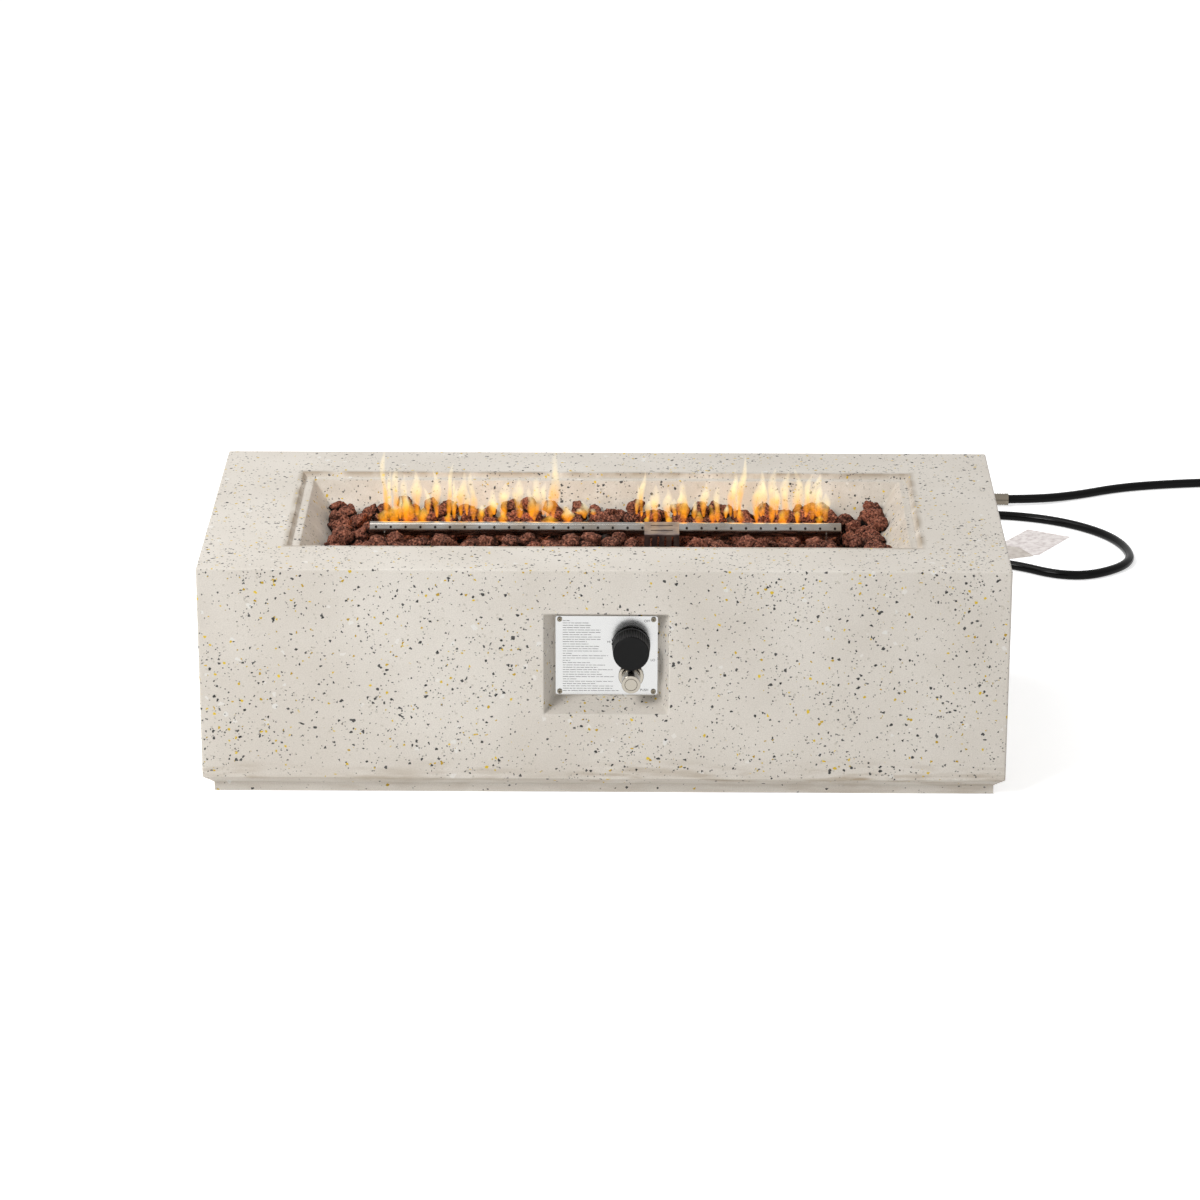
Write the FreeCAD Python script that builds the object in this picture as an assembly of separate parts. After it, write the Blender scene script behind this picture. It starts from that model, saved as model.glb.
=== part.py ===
import FreeCAD, Part
import math
import os
import random

# A low rectangular gas fire pit table of cast terrazzo concrete, with a straight stainless
# burner in a bowl of lava rock, a control panel in a recess of the front wall, and a
# supply hose with a regulator. Millimetres. The origin is the centre of the base on the
# ground, +X runs along the table to the right, +Y away from the control panel, +Z up.

# Overall table
TABLE_LENGTH = 1067.0
TABLE_DEPTH = 490.0
TABLE_HEIGHT = 320.0
EDGE_ROUND = 3.0
TOP_ROUND = 2.5

# Plinth at the foot of the walls
PLINTH_INSET = 14.5
PLINTH_HEIGHT = 12.0
CHAMFER_HEIGHT = 13.0
PAD_STAND = 1.0
PAD_RADIUS = 20.0
PAD_THICKNESS = 4.0
PAD_CORNER_BLOCK = 64.0
CORNER_BLOCK_HEIGHT = 40.0

# Concrete walls
WALL = 18.0
TOP_SLAB = 18.0
BOWL_FLOOR = 18.0

# Opening in the top and the fire bowl below it
OPENING_LENGTH = 842.0
OPENING_WIDTH = 305.0
STEP_DEPTH = 6.0
STEP_RUN = 5.0
LEDGE_WIDTH = 10.0
BOWL_DEPTH = 90.0
BOWL_SLOPE = 0.8
BOWL_CORNER_ROUND = 4.0
LIP_ROUND = 3.0
RIM_ROUND = 1.5

# Control recess in the front wall
PANEL_X = 3.5
PANEL_DROP = 132.0
RECESS_WIDTH = 165.0
RECESS_HEIGHT = 141.0
RECESS_DEPTH = 36.0
RECESS_TAPER = 13.0
RECESS_WALL = 16.0
RECESS_ROUND = 2.5
HATCH_INSET_X = 10.0
HATCH_INSET_Z = 5.0

# Control plate and its screws
PLATE_MARGIN = 2.0
PLATE_THICKNESS = 1.5
PLATE_CORNER = 3.0
SCREW_INSET_X = 5.5
SCREW_INSET_Z = 4.5
SCREW_HEAD_RADIUS = 3.35
SCREW_HEAD_HEIGHT = 2.0
SCREW_SHANK_RADIUS = 2.0
SCREW_BITE = 12.0

# Knob
KNOB_INSET = 35.0
KNOB_ABOVE_BUTTON = 43.5
KNOB_BASE_RADIUS = 25.2
KNOB_FACE_RADIUS = 23.9
KNOB_LENGTH = 30.0
KNOB_WALL = 3.0
KNOB_GAP = 3.9
KNOB_HUB_RADIUS = 7.0
FIT = 0.05

# Gas valve behind the plate
STEM_RADIUS = 4.0
STEM_FLAT = 3.0
PLUG_RADIUS = 8.0
PLUG_LENGTH = 28.0
VALVE_RADIUS = 15.0
VALVE_LENGTH = 59.0
VALVE_FLANGE = 36.0
VALVE_FLANGE_THICKNESS = 3.0
VALVE_SCREW_SPAN = 24.0
PORT_RADIUS = 8.0
PORT_LENGTH = 15.0
PORT_BORE = 2.5
INLET_BACK = 39.0
OUTLET_BACK = 25.0
MAGNET_RADIUS = 9.0
MAGNET_THREAD_RADIUS = 7.0
MAGNET_LENGTH = 22.0

# Push-button igniter
BUTTON_RISE = 27.0
BEZEL_RADIUS = 16.7
BEZEL_HEIGHT = 4.0
BARREL_RADIUS = 11.0
BARREL_LENGTH = 58.0
BATTERY_RADIUS = 7.25
BATTERY_LENGTH = 50.0
BATTERY_PLAY = 0.3
SLEEVE_RADIUS = 9.9
SLEEVE_LENGTH = 17.5
BUTTON_RADIUS = 12.5
BUTTON_LENGTH = 26.0
BUTTON_FACE = 3.0
BUTTON_GAP = 3.9
IGNITER_NUT_FLATS = 27.0
IGNITER_NUT_HEIGHT = 6.0

# Burner
BURNER_END_GAP = 101.0
BURNER_RADIUS = 9.5
BURNER_WALL = 1.2
BURNER_DROP = 29.0
PORT_COUNT = 32
PORT_END = 8.45
PORT_HOLE_RADIUS = 1.5
PORT_TILT = 30.0
END_CAP = 1.5
PIPE_RADIUS = 8.55
PIPE_BORE = 6.3
PIPE_BELOW_FLOOR = 30.0
LOCKNUT_FLATS = 27.0
LOCKNUT_HEIGHT = 8.0
SUPPORT_INSET = 20.0
SUPPORT_WIDTH = 26.0
SHEET = 1.5

# Air mixer, jet and gas line
MIXER_RADIUS = 12.0
MIXER_LENGTH = 78.0
MIXER_SOCKET = 14.0
JET_FLATS = 14.0
JET_HEIGHT = 16.0
JET_STUB_RADIUS = 4.0
GAS_TUBE_RADIUS = 4.75
FLARE_NUT_LENGTH = 14.0

# Igniter guard and what stands under it
GUARD_X = 76.5
GUARD_WIDTH = 47.0
GUARD_CLEARANCE = 15.5
GUARD_SHEET = 1.2
GUARD_FOOT = 14.0
GUARD_SCREW_SPAN = 34.0
GUARD_SCREW_INSET = 8.0
ELECTRODE_X = 88.0
THERMOCOUPLE_X = 65.0
PILOT_SHARE = 0.56
CERAMIC_RADIUS = 3.5
PIN_RADIUS = 1.0
SENSOR_RADIUS = 2.5
LEAD_RADIUS = 1.5

# Lava rock
ROCK_SEED = 11
ROCK_COLUMNS = 17
ROCK_ROWS = 5
ROCK_JITTER = 0.24
ROCK_GAP = 0.3
ROCK_HEIGHT = 54.0
ROCK_LIFT_BEHIND = 10.0
ROCK_LIFT_ENDS = 12.0
SMALLEST_ROCK = 6000.0

# Hose
HOSE_RADIUS = 7.0
GROMMET_INSET = 153.5
GROMMET_Z = 60.0
GROMMET_FLANGE_RADIUS = 15.0
GROMMET_FLANGE = 3.0
GROMMET_SLEEVE_RADIUS = 10.0
FERRULE_RADIUS = 9.3
FERRULE_LENGTH = 24.0
ARC_SHARE = 0.45
COIL_RADIUS = 73.0
COIL_TURNS = 2.25
COIL_LAYERS = 3

# Hose coupling and regulator
UNION_FLATS = 19.0
UNION_LENGTH = 52.0
SWIVEL_REACH = 16.0
SWIVEL_FLATS = 22.0
INSERT_RADIUS = 7.2
REGULATOR_RADIUS = 31.0
REGULATOR_AXIS_Z = 20.0
NIPPLE_RADIUS = 7.0
NUT_RADIUS = 19.4
NUT_LENGTH = 45.0
NUT_WALL = 8.0
TAG_THICKNESS = 0.5
TAG_WIDTH = 34.0

V = FreeCAD.Vector
UP = V(0, 0, 1)

# Worked out from the sizes above
FRONT = -TABLE_DEPTH / 2
BACK = TABLE_DEPTH / 2
CHAMFER_Z = PAD_STAND + PLINTH_HEIGHT
WALL_Z = CHAMFER_Z + CHAMFER_HEIGHT
RIGHT = TABLE_LENGTH / 2
LEDGE_Z = TABLE_HEIGHT - STEP_DEPTH
BOWL_Z = LEDGE_Z - BOWL_DEPTH
FLOOR_UNDER_Z = BOWL_Z - BOWL_FLOOR
LIP_X = OPENING_LENGTH / 2 - STEP_RUN - LEDGE_WIDTH
LIP_Y = OPENING_WIDTH / 2 - STEP_RUN - LEDGE_WIDTH
BURNER_LENGTH = OPENING_LENGTH - 2 * BURNER_END_GAP
BURNER_Z = TABLE_HEIGHT - BURNER_DROP
PORT_PITCH = (BURNER_LENGTH - 2 * PORT_END) / (PORT_COUNT - 1)
SUPPORT_X = BURNER_LENGTH / 2 - SUPPORT_INSET
PANEL_Z = TABLE_HEIGHT - PANEL_DROP
PLATE_WIDTH = RECESS_WIDTH - 2 * RECESS_TAPER - 2 * PLATE_MARGIN
PLATE_HEIGHT = RECESS_HEIGHT - 2 * RECESS_TAPER - 2 * PLATE_MARGIN
SCREW_SPAN_X = PLATE_WIDTH - 2 * SCREW_INSET_X
SCREW_SPAN_Z = PLATE_HEIGHT - 2 * SCREW_INSET_Z
HATCH_WIDTH = SCREW_SPAN_X - 2 * HATCH_INSET_X
HATCH_HEIGHT = SCREW_SPAN_Z - 2 * HATCH_INSET_Z
BUTTON_X = PANEL_X + PLATE_WIDTH / 2 - KNOB_INSET
BUTTON_Z = PANEL_Z - PLATE_HEIGHT / 2 + BUTTON_RISE
KNOB_X = BUTTON_X
KNOB_Z = BUTTON_Z + KNOB_ABOVE_BUTTON
GUARD_DEPTH = LIP_Y - BOWL_SLOPE * BOWL_DEPTH - GUARD_CLEARANCE
GUARD_SCREW_Y = -GUARD_DEPTH + GUARD_SCREW_INSET
PILOT_Y = -GUARD_DEPTH * PILOT_SHARE
GROMMET_X = RIGHT - GROMMET_INSET
RECESS_Y = FRONT + RECESS_DEPTH
PLATE_Y = RECESS_Y - PLATE_THICKNESS
KNOB_BASE_Y = PLATE_Y - KNOB_GAP
KNOB_FACE_Y = KNOB_BASE_Y - KNOB_LENGTH
BUTTON_BASE_Y = PLATE_Y - BEZEL_HEIGHT - BUTTON_GAP
BUTTON_FACE_Y = BUTTON_BASE_Y - BUTTON_LENGTH
VALVE_BACK_Y = RECESS_Y + VALVE_LENGTH
INLET_Y = RECESS_Y + INLET_BACK
OUTLET_Y = RECESS_Y + OUTLET_BACK
PLUG_FRONT_Y = RECESS_Y + 0.3
PLUG_BACK_Y = PLUG_FRONT_Y + PLUG_LENGTH
PIPE_END_Z = FLOOR_UNDER_Z - PIPE_BELOW_FLOOR
MIXER_TOP_Z = PIPE_END_Z + MIXER_SOCKET
MIXER_END_Z = MIXER_TOP_Z - MIXER_LENGTH
JET_END_Z = MIXER_END_Z - JET_HEIGHT
GUARD_TOP_Z = BURNER_Z + BURNER_RADIUS + GUARD_SHEET
BRACKET_Z = BOWL_Z + SHEET
MAGNET_END_Y = VALVE_BACK_Y + MAGNET_LENGTH
BATTERY_END_Y = PLATE_Y - BEZEL_HEIGHT - SLEEVE_LENGTH + 6.0 + BATTERY_LENGTH
BARREL_END_Y = PLATE_Y + BARREL_LENGTH
MODULE_END_Y = BARREL_END_Y + 14.0
OUTLET_X = KNOB_X - VALVE_RADIUS - PORT_LENGTH
INLET_X = KNOB_X + VALVE_RADIUS + PORT_LENGTH


def behind(x, y, z):
    """A point on the ground behind the table, measured from its back right corner."""
    return V(RIGHT + x, BACK + y, z)


# Hand-chosen points of the hoses. The lead hose leaves the back wall, comes down to the
# ground, makes one wide loop to the right and comes round to the coupling.
LEAD_Z = HOSE_RADIUS + 0.05
TAG_Z = HOSE_RADIUS + TAG_THICKNESS + 0.25
COUPLING = behind(-21.5, 703, 11)
COIL = behind(528.5, 727, 0)
LEAD_POINTS = [
    V(GROMMET_X, BACK, GROMMET_Z),
    behind(-153.5, 47, GROMMET_Z),
    behind(-149.5, 107, 46),
    behind(-137.5, 171, 22),
    behind(-115.5, 233, 9),
    behind(-95.5, 293, TAG_Z),
    behind(-67.5, 351, TAG_Z),
    behind(-25.5, 400, TAG_Z),
    behind(28.5, 421, TAG_Z),
    behind(86.5, 404, TAG_Z),
    behind(145, 362, LEAD_Z),
    behind(202.5, 362, LEAD_Z),
    behind(263.5, 417, LEAD_Z),
    behind(263.5, 488, LEAD_Z),
    behind(233.5, 556, LEAD_Z),
    behind(168.5, 612, LEAD_Z),
    behind(82.5, 640, LEAD_Z),
    behind(2.5, 635, LEAD_Z),
    behind(-71.5, 607, LEAD_Z),
    behind(-149.5, 591, LEAD_Z),
    behind(-225.5, 595, LEAD_Z),
    behind(-285.5, 639, LEAD_Z),
    behind(-303.5, 709, LEAD_Z),
    behind(-269.5, 769, LEAD_Z),
    behind(-203.5, 785, 8),
    behind(-143.5, 749, 9),
    COUPLING - V(62, 0, 0),
    COUPLING,
]
SUPPLY_POINTS = [
    behind(70.5, 703, 11),
    behind(134.5, 703, 11),
    behind(204.5, 733, LEAD_Z),
    behind(278.5, 773, LEAD_Z),
    behind(356.5, 792, LEAD_Z),
    behind(441.5, 803, LEAD_Z),
    COIL + V(0, COIL_RADIUS, LEAD_Z),
]
COIL_TOP_Z = LEAD_Z + (COIL_LAYERS - 1) * 2 * (HOSE_RADIUS + 0.05)
REGULATOR_PORT = behind(588.5, 535, REGULATOR_AXIS_Z)
TAIL_POINTS = [
    COIL + V(COIL_RADIUS, 0, COIL_TOP_Z),
    COIL + V(COIL_RADIUS, -42, COIL_TOP_Z),
    behind(595.5, 632, 26),
    REGULATOR_PORT + V(0, 44, 0),
    REGULATOR_PORT,
]
INNER_POINTS = [
    V(INLET_X, INLET_Y, KNOB_Z),
    V(INLET_X + 50, INLET_Y, KNOB_Z),
    V(GROMMET_X - 204, INLET_Y + 12, KNOB_Z - 17),
    V(GROMMET_X - 148, INLET_Y + 50, KNOB_Z - 53),
    V(GROMMET_X - 96, INLET_Y + 110, GROMMET_Z + 50),
    V(GROMMET_X - 50, BACK - 235, GROMMET_Z + 22),
    V(GROMMET_X - 18, BACK - 159, GROMMET_Z + 6),
    V(GROMMET_X - 2, BACK - 95, GROMMET_Z + 1),
    V(GROMMET_X, BACK - 40, GROMMET_Z),
    V(GROMMET_X, BACK, GROMMET_Z),
]
GAS_TUBE_POINTS = [
    V(0, 0, JET_END_Z),
    V(0, 0, JET_END_Z - 50),
    V(-18, -86, JET_END_Z - 48),
    V(OUTLET_X - 78, OUTLET_Y + 26, JET_END_Z + 14),
    V(OUTLET_X - 78, OUTLET_Y, KNOB_Z),
    V(OUTLET_X, OUTLET_Y, KNOB_Z),
]
THERMOCOUPLE_POINTS = [
    V(THERMOCOUPLE_X, PILOT_Y, BOWL_Z - 34),
    V(THERMOCOUPLE_X, PILOT_Y, BOWL_Z - 64),
    V(THERMOCOUPLE_X - 7, PILOT_Y - 20, BOWL_Z - 86),
    V(KNOB_X + 6, PILOT_Y - 38, KNOB_Z - 51),
    V(KNOB_X, MAGNET_END_Y + 48, KNOB_Z - 19),
    V(KNOB_X, MAGNET_END_Y + 28, KNOB_Z),
    V(KNOB_X, MAGNET_END_Y, KNOB_Z),
]
IGNITER_WIRE_POINTS = [
    V(BUTTON_X, MODULE_END_Y, BUTTON_Z),
    V(BUTTON_X, MODULE_END_Y + 26.5, BUTTON_Z),
    V(BUTTON_X + 14, MODULE_END_Y + 54.5, BUTTON_Z - 11.5),
    V(ELECTRODE_X - 10, PILOT_Y - 24, BOWL_Z - 82),
    V(ELECTRODE_X, PILOT_Y, BOWL_Z - 74),
    V(ELECTRODE_X, PILOT_Y, BOWL_Z - 42),
]
SPARK_PIN_POINTS = [
    V(ELECTRODE_X, PILOT_Y, BOWL_Z - 42),
    V(ELECTRODE_X, PILOT_Y, BURNER_Z - 10),
    V(ELECTRODE_X, -15, BURNER_Z - 1),
]
TAG_OUTLINE = [
    (41.5, 417),
    (73.5, 408),
    (78.5, 455),
    (128.5, 473),
    (182.5, 555),
    (119.5, 589),
    (66.5, 513),
    (38.5, 445),
]


def box(x0, x1, y0, y1, z0, z1):
    return Part.makeBox(x1 - x0, y1 - y0, z1 - z0, V(x0, y0, z0))


def rod(radius, start, end):
    """A round bar between two points."""
    return Part.makeCylinder(radius, (end - start).Length, start, end - start)


def pipe(outer, inner, start, end):
    return rod(outer, start, end).cut(rod(inner, start, end))


def hexagon(flats, start, end):
    """A six-sided bar between two points, measured across its flats."""
    axis = end - start
    turn = FreeCAD.Rotation(UP, axis)
    reach = flats / math.sqrt(3)
    corners = []
    for i in range(6):
        angle = math.radians(60 * i + 30)
        corner = V(reach * math.cos(angle), reach * math.sin(angle), 0)
        corners.append(start + turn.multVec(corner))
    return Part.Face(Part.makePolygon(corners + corners[:1])).extrude(axis)


def flat_sided(faces):
    """A solid from its flat faces, each a list of points counter-clockwise from outside."""
    shell = Part.Shell([Part.Face(Part.makePolygon(f + f[:1])) for f in faces])
    solid = Part.Solid(shell)
    if solid.Volume < 0:
        solid.reverse()
    return solid


def prismoid(low, high):
    """A block between two level rectangles, each (middle x, middle y, half x, half y, z)."""
    rings = []
    for x, y, half_x, half_y, z in (low, high):
        signs = ((-1, -1), (1, -1), (1, 1), (-1, 1))
        rings.append([V(x + i * half_x, y + j * half_y, z) for i, j in signs])
    below, above = rings
    faces = [below[::-1], above]
    for i in range(4):
        j = (i + 1) % 4
        faces.append([below[i], below[j], above[j], above[i]])
    return flat_sided(faces)


def picked(shape, wanted):
    """The edges of a shape whose end points all pass a test."""
    return [
        e
        for e in shape.Edges
        if len(e.Vertexes) == 2 and wanted(e.Vertexes[0].Point, e.Vertexes[1].Point)
    ]


def bent(points):
    """Straight runs joined by a tangent arc at each inner point: (wire, radii)."""
    edges = []
    radii = []
    at = points[0]
    for before, corner, after in zip(points, points[1:], points[2:]):
        come = corner - before
        go = after - corner
        reach = ARC_SHARE * min(come.Length, go.Length)
        half_turn = come.getAngle(go) / 2
        radius = reach / math.tan(half_turn)
        come = come * (1 / come.Length)
        go = go * (1 / go.Length)
        inward = go - come
        inward = inward * (1 / inward.Length)
        start = corner - come * reach
        end = corner + go * reach
        middle = corner + inward * (radius / math.cos(half_turn) - radius)
        edges.append(Part.LineSegment(at, start).toShape())
        edges.append(Part.Arc(start, middle, end).toShape())
        radii.append(radius)
        at = end
    edges.append(Part.LineSegment(at, points[-1]).toShape())
    return Part.Wire(edges), radii


def tube(name, points, radius):
    """A round hose, wire or tube along a bent path, with its bends and volume printed."""
    wire, radii = bent(points)
    ring = Part.Wire(Part.makeCircle(radius, points[0], points[1] - points[0]))
    solid = wire.makePipeShell([ring], True, False)
    expected = math.pi * radius**2 * wire.Length
    print(
        f"{name}: length {wire.Length:.0f} mm, arc radii {[round(r) for r in radii]},"
        f" volume {solid.Volume:.0f} of {expected:.0f} mm3"
    )
    return solid


def save(name, *solids):
    """Writes one node, as one solid or a group of separate ones."""
    parts = [s for shape in solids for s in shape.Solids]
    whole = parts[0] if len(parts) == 1 else Part.makeCompound(parts)
    bad = [s for s in parts if not s.isValid() or s.Volume <= 0]
    whole.exportStep(f"parts/{name}.step")
    print(f"{name}: {len(parts)} solids, {whole.Volume / 1000:.1f} cm3, {len(bad)} bad")


def outer_block():
    """The outside of the table: walls with softened edges on a chamfered plinth."""
    half_x = TABLE_LENGTH / 2
    half_y = TABLE_DEPTH / 2
    foot_x = half_x - PLINTH_INSET
    foot_y = half_y - PLINTH_INSET
    block = box(-half_x, half_x, -half_y, half_y, PAD_STAND, TABLE_HEIGHT)
    corners = picked(block, lambda a, b: abs(a.z - b.z) > 1)
    block = block.makeFillet(EDGE_ROUND, corners)
    top = [e for e in block.Edges if e.BoundBox.ZMin > TABLE_HEIGHT - 0.1]
    block = block.makeFillet(TOP_ROUND, top)
    above = box(-half_x - 1, half_x + 1, -half_y - 1, half_y + 1, WALL_Z, TABLE_HEIGHT + 1)
    chamfer = prismoid((0, 0, foot_x, foot_y, CHAMFER_Z), (0, 0, half_x, half_y, WALL_Z))
    plinth = box(-foot_x, foot_x, -foot_y, foot_y, PAD_STAND, CHAMFER_Z)
    return block.common(above.fuse([chamfer, plinth]))


def bowl_half(z, lip):
    """Half the bowl's inside length or width at a height."""
    return lip - BOWL_SLOPE * (LEDGE_Z - z)


def bowl_space():
    """What is cut out of the top: the stepped rim and the sloping bowl."""
    over = 1.0
    rim_x = LIP_X + LEDGE_WIDTH
    rim_y = LIP_Y + LEDGE_WIDTH
    spread = STEP_RUN * (STEP_DEPTH + over) / STEP_DEPTH
    top_z = TABLE_HEIGHT + over
    rim = prismoid(
        (0, 0, rim_x, rim_y, LEDGE_Z),
        (0, 0, rim_x + spread, rim_y + spread, top_z),
    )
    high_z = LEDGE_Z + over
    bowl = prismoid(
        (0, 0, bowl_half(BOWL_Z, LIP_X), bowl_half(BOWL_Z, LIP_Y), BOWL_Z),
        (0, 0, bowl_half(high_z, LIP_X), bowl_half(high_z, LIP_Y), high_z),
    )
    corners = picked(bowl, lambda a, b: abs(a.z - b.z) > 1)
    return rim.fuse(bowl.makeFillet(BOWL_CORNER_ROUND, corners))


def bowl_shell():
    """The outside of the bowl, as it hangs in the hollow body."""
    out = WALL * math.hypot(1, BOWL_SLOPE)
    top_z = TABLE_HEIGHT - TOP_SLAB
    return prismoid(
        (
            0,
            0,
            bowl_half(FLOOR_UNDER_Z, LIP_X) + out,
            bowl_half(FLOOR_UNDER_Z, LIP_Y) + out,
            FLOOR_UNDER_Z,
        ),
        (0, 0, bowl_half(top_z, LIP_X) + out, bowl_half(top_z, LIP_Y) + out, top_z + 1),
    )


def hollow_space():
    """The hollow under the table, round the bowl, the recess and the corner blocks."""
    half_x = TABLE_LENGTH / 2 - WALL
    half_y = TABLE_DEPTH / 2 - WALL
    foot_x = half_x - PLINTH_INSET
    foot_y = half_y - PLINTH_INSET
    step_z = WALL_Z + WALL
    foot = box(-foot_x, foot_x, -foot_y, foot_y, 0, step_z)
    high = box(-half_x, half_x, -half_y, half_y, step_z, TABLE_HEIGHT - TOP_SLAB)
    back_x = RECESS_WIDTH / 2 + RECESS_WALL
    back_z = RECESS_HEIGHT / 2 + RECESS_WALL
    recess = box(
        PANEL_X - back_x,
        PANEL_X + back_x,
        FRONT,
        RECESS_Y + RECESS_WALL,
        PANEL_Z - back_z,
        PANEL_Z + back_z,
    )
    keep = [bowl_shell(), recess]
    for i in (-1, 1):
        for j in (-1, 1):
            x = i * (foot_x - PAD_CORNER_BLOCK / 2)
            y = j * (foot_y - PAD_CORNER_BLOCK / 2)
            half = PAD_CORNER_BLOCK / 2 + 1
            keep.append(box(x - half, x + half, y - half, y + half, 0, CORNER_BLOCK_HEIGHT))
    return foot.fuse(high).cut(keep)


def recess_space():
    """The tapered control recess, and the hatch in its floor."""
    over = 1.0
    spread = RECESS_TAPER * (RECESS_DEPTH + over) / RECESS_DEPTH
    floor_x = RECESS_WIDTH / 2 - RECESS_TAPER
    floor_z = RECESS_HEIGHT / 2 - RECESS_TAPER
    cut = prismoid(
        (PANEL_X, PANEL_Z, floor_x, floor_z, -RECESS_Y),
        (PANEL_X, PANEL_Z, floor_x + spread, floor_z + spread, -FRONT + over),
    )
    corners = picked(cut, lambda a, b: abs(a.z - b.z) > 1)
    cut = cut.makeFillet(RECESS_ROUND, corners)
    cut.rotate(V(0, 0, 0), V(1, 0, 0), 90)
    hatch = box(
        PANEL_X - HATCH_WIDTH / 2,
        PANEL_X + HATCH_WIDTH / 2,
        RECESS_Y - 1,
        RECESS_Y + RECESS_WALL + 1,
        PANEL_Z - HATCH_HEIGHT / 2,
        PANEL_Z + HATCH_HEIGHT / 2,
    )
    return cut.fuse(hatch)


def plate_corners():
    """Middles of the four corner screws of the control plate."""
    return [
        (PANEL_X + i * SCREW_SPAN_X / 2, PANEL_Z + j * SCREW_SPAN_Z / 2)
        for i in (-1, 1)
        for j in (-1, 1)
    ]


def pad_places():
    """Middles of the four rubber pads under the corner blocks."""
    x = TABLE_LENGTH / 2 - PLINTH_INSET - PAD_CORNER_BLOCK / 2 - 6
    y = TABLE_DEPTH / 2 - PLINTH_INSET - PAD_CORNER_BLOCK / 2 - 6
    return [(i * x, j * y) for i in (-1, 1) for j in (-1, 1)]


def support_screw_places():
    """Screws that hold the burner's two supports to the bowl floor."""
    x = SUPPORT_X - SHEET / 2 - 8
    return [(i * x, j * 8.0) for i in (-1, 1) for j in (-1, 1)]


def guard_screw_places():
    """Screws through the guard's foot and the pilot bracket."""
    half = GUARD_SCREW_SPAN / 2
    return [(GUARD_X - half, GUARD_SCREW_Y), (GUARD_X + half, GUARD_SCREW_Y)]


def concrete_body():
    body = outer_block().cut([hollow_space(), bowl_space(), recess_space()])
    lip = picked(
        body,
        lambda a, b: abs(a.z - LEDGE_Z) + abs(b.z - LEDGE_Z) < 0.1
        and max(abs(a.x), abs(b.x)) < LIP_X + 1
        and max(abs(a.y), abs(b.y)) < LIP_Y + 1,
    )
    body = body.makeFillet(LIP_ROUND, lip)
    rim = picked(
        body,
        lambda a, b: abs(a.z - TABLE_HEIGHT) + abs(b.z - TABLE_HEIGHT) < 0.1
        and max(abs(a.x), abs(b.x)) < OPENING_LENGTH / 2 + 1
        and max(abs(a.y), abs(b.y)) < OPENING_WIDTH / 2 + 1,
    )
    body = body.makeFillet(RIM_ROUND, rim)
    opening = picked(
        body,
        lambda a, b: abs(a.y - FRONT) + abs(b.y - FRONT) < 0.1
        and max(abs(a.x - PANEL_X), abs(b.x - PANEL_X)) < RECESS_WIDTH / 2 + 1
        and max(abs(a.z - PANEL_Z), abs(b.z - PANEL_Z)) < RECESS_HEIGHT / 2 + 1,
    )
    body = body.makeFillet(RECESS_ROUND, opening)
    cuts = [rod(PIPE_RADIUS + 0.4, V(0, 0, FLOOR_UNDER_Z - 1), V(0, 0, BOWL_Z + 1))]
    cuts.append(
        box(
            THERMOCOUPLE_X - 8,
            ELECTRODE_X + 8,
            PILOT_Y - 7,
            PILOT_Y + 7,
            FLOOR_UNDER_Z - 1,
            BOWL_Z + 1,
        )
    )
    for x, y in support_screw_places() + guard_screw_places():
        cuts.append(rod(SCREW_SHANK_RADIUS, V(x, y, BOWL_Z - SCREW_BITE), V(x, y, BOWL_Z + 1)))
    for x, z in plate_corners():
        start = V(x, RECESS_Y - 1, z)
        cuts.append(rod(SCREW_SHANK_RADIUS, start, V(x, RECESS_Y + SCREW_BITE, z)))
    for x, y in pad_places():
        cuts.append(rod(PAD_RADIUS + 0.2, V(x, y, 0), V(x, y, PAD_THICKNESS)))
    wall_y = BACK - WALL
    cuts.append(
        rod(GROMMET_SLEEVE_RADIUS, V(GROMMET_X, wall_y - 1, GROMMET_Z), V(GROMMET_X, BACK + 1, GROMMET_Z))
    )
    cuts.append(
        rod(
            GROMMET_FLANGE_RADIUS,
            V(GROMMET_X, BACK - GROMMET_FLANGE, GROMMET_Z),
            V(GROMMET_X, BACK + 1, GROMMET_Z),
        )
    )
    return body.cut(cuts)


def foot_pads():
    return [rod(PAD_RADIUS, V(x, y, 0), V(x, y, PAD_THICKNESS)) for x, y in pad_places()]


def screw(head, drive, slot_turn):
    """A pan-head screw: head middle on its seat, and the way it is driven."""
    top = head - drive * SCREW_HEAD_HEIGHT
    body = rod(SCREW_HEAD_RADIUS, top, head)
    edge = [e for e in body.Edges if abs((e.CenterOfMass - top).dot(drive)) < 0.01]
    body = body.makeFillet(0.8, edge[:1])
    body = body.fuse(rod(SCREW_SHANK_RADIUS, head, head + drive * SCREW_BITE))
    arm = V(1, 0, 0)
    across = drive.cross(arm)
    for turn in (slot_turn, slot_turn + 90):
        angle = math.radians(turn)
        along = arm * math.cos(angle) + across * math.sin(angle)
        start = top - along * 2.2 - drive * 0.1
        side = drive.cross(along) * 0.4
        corners = [start - side, start + side]
        corners += [start + along * 4.4 + side, start + along * 4.4 - side]
        slot = Part.Face(Part.makePolygon(corners + corners[:1])).extrude(drive * 1.2)
        body = body.cut(slot)
    return body


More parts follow.
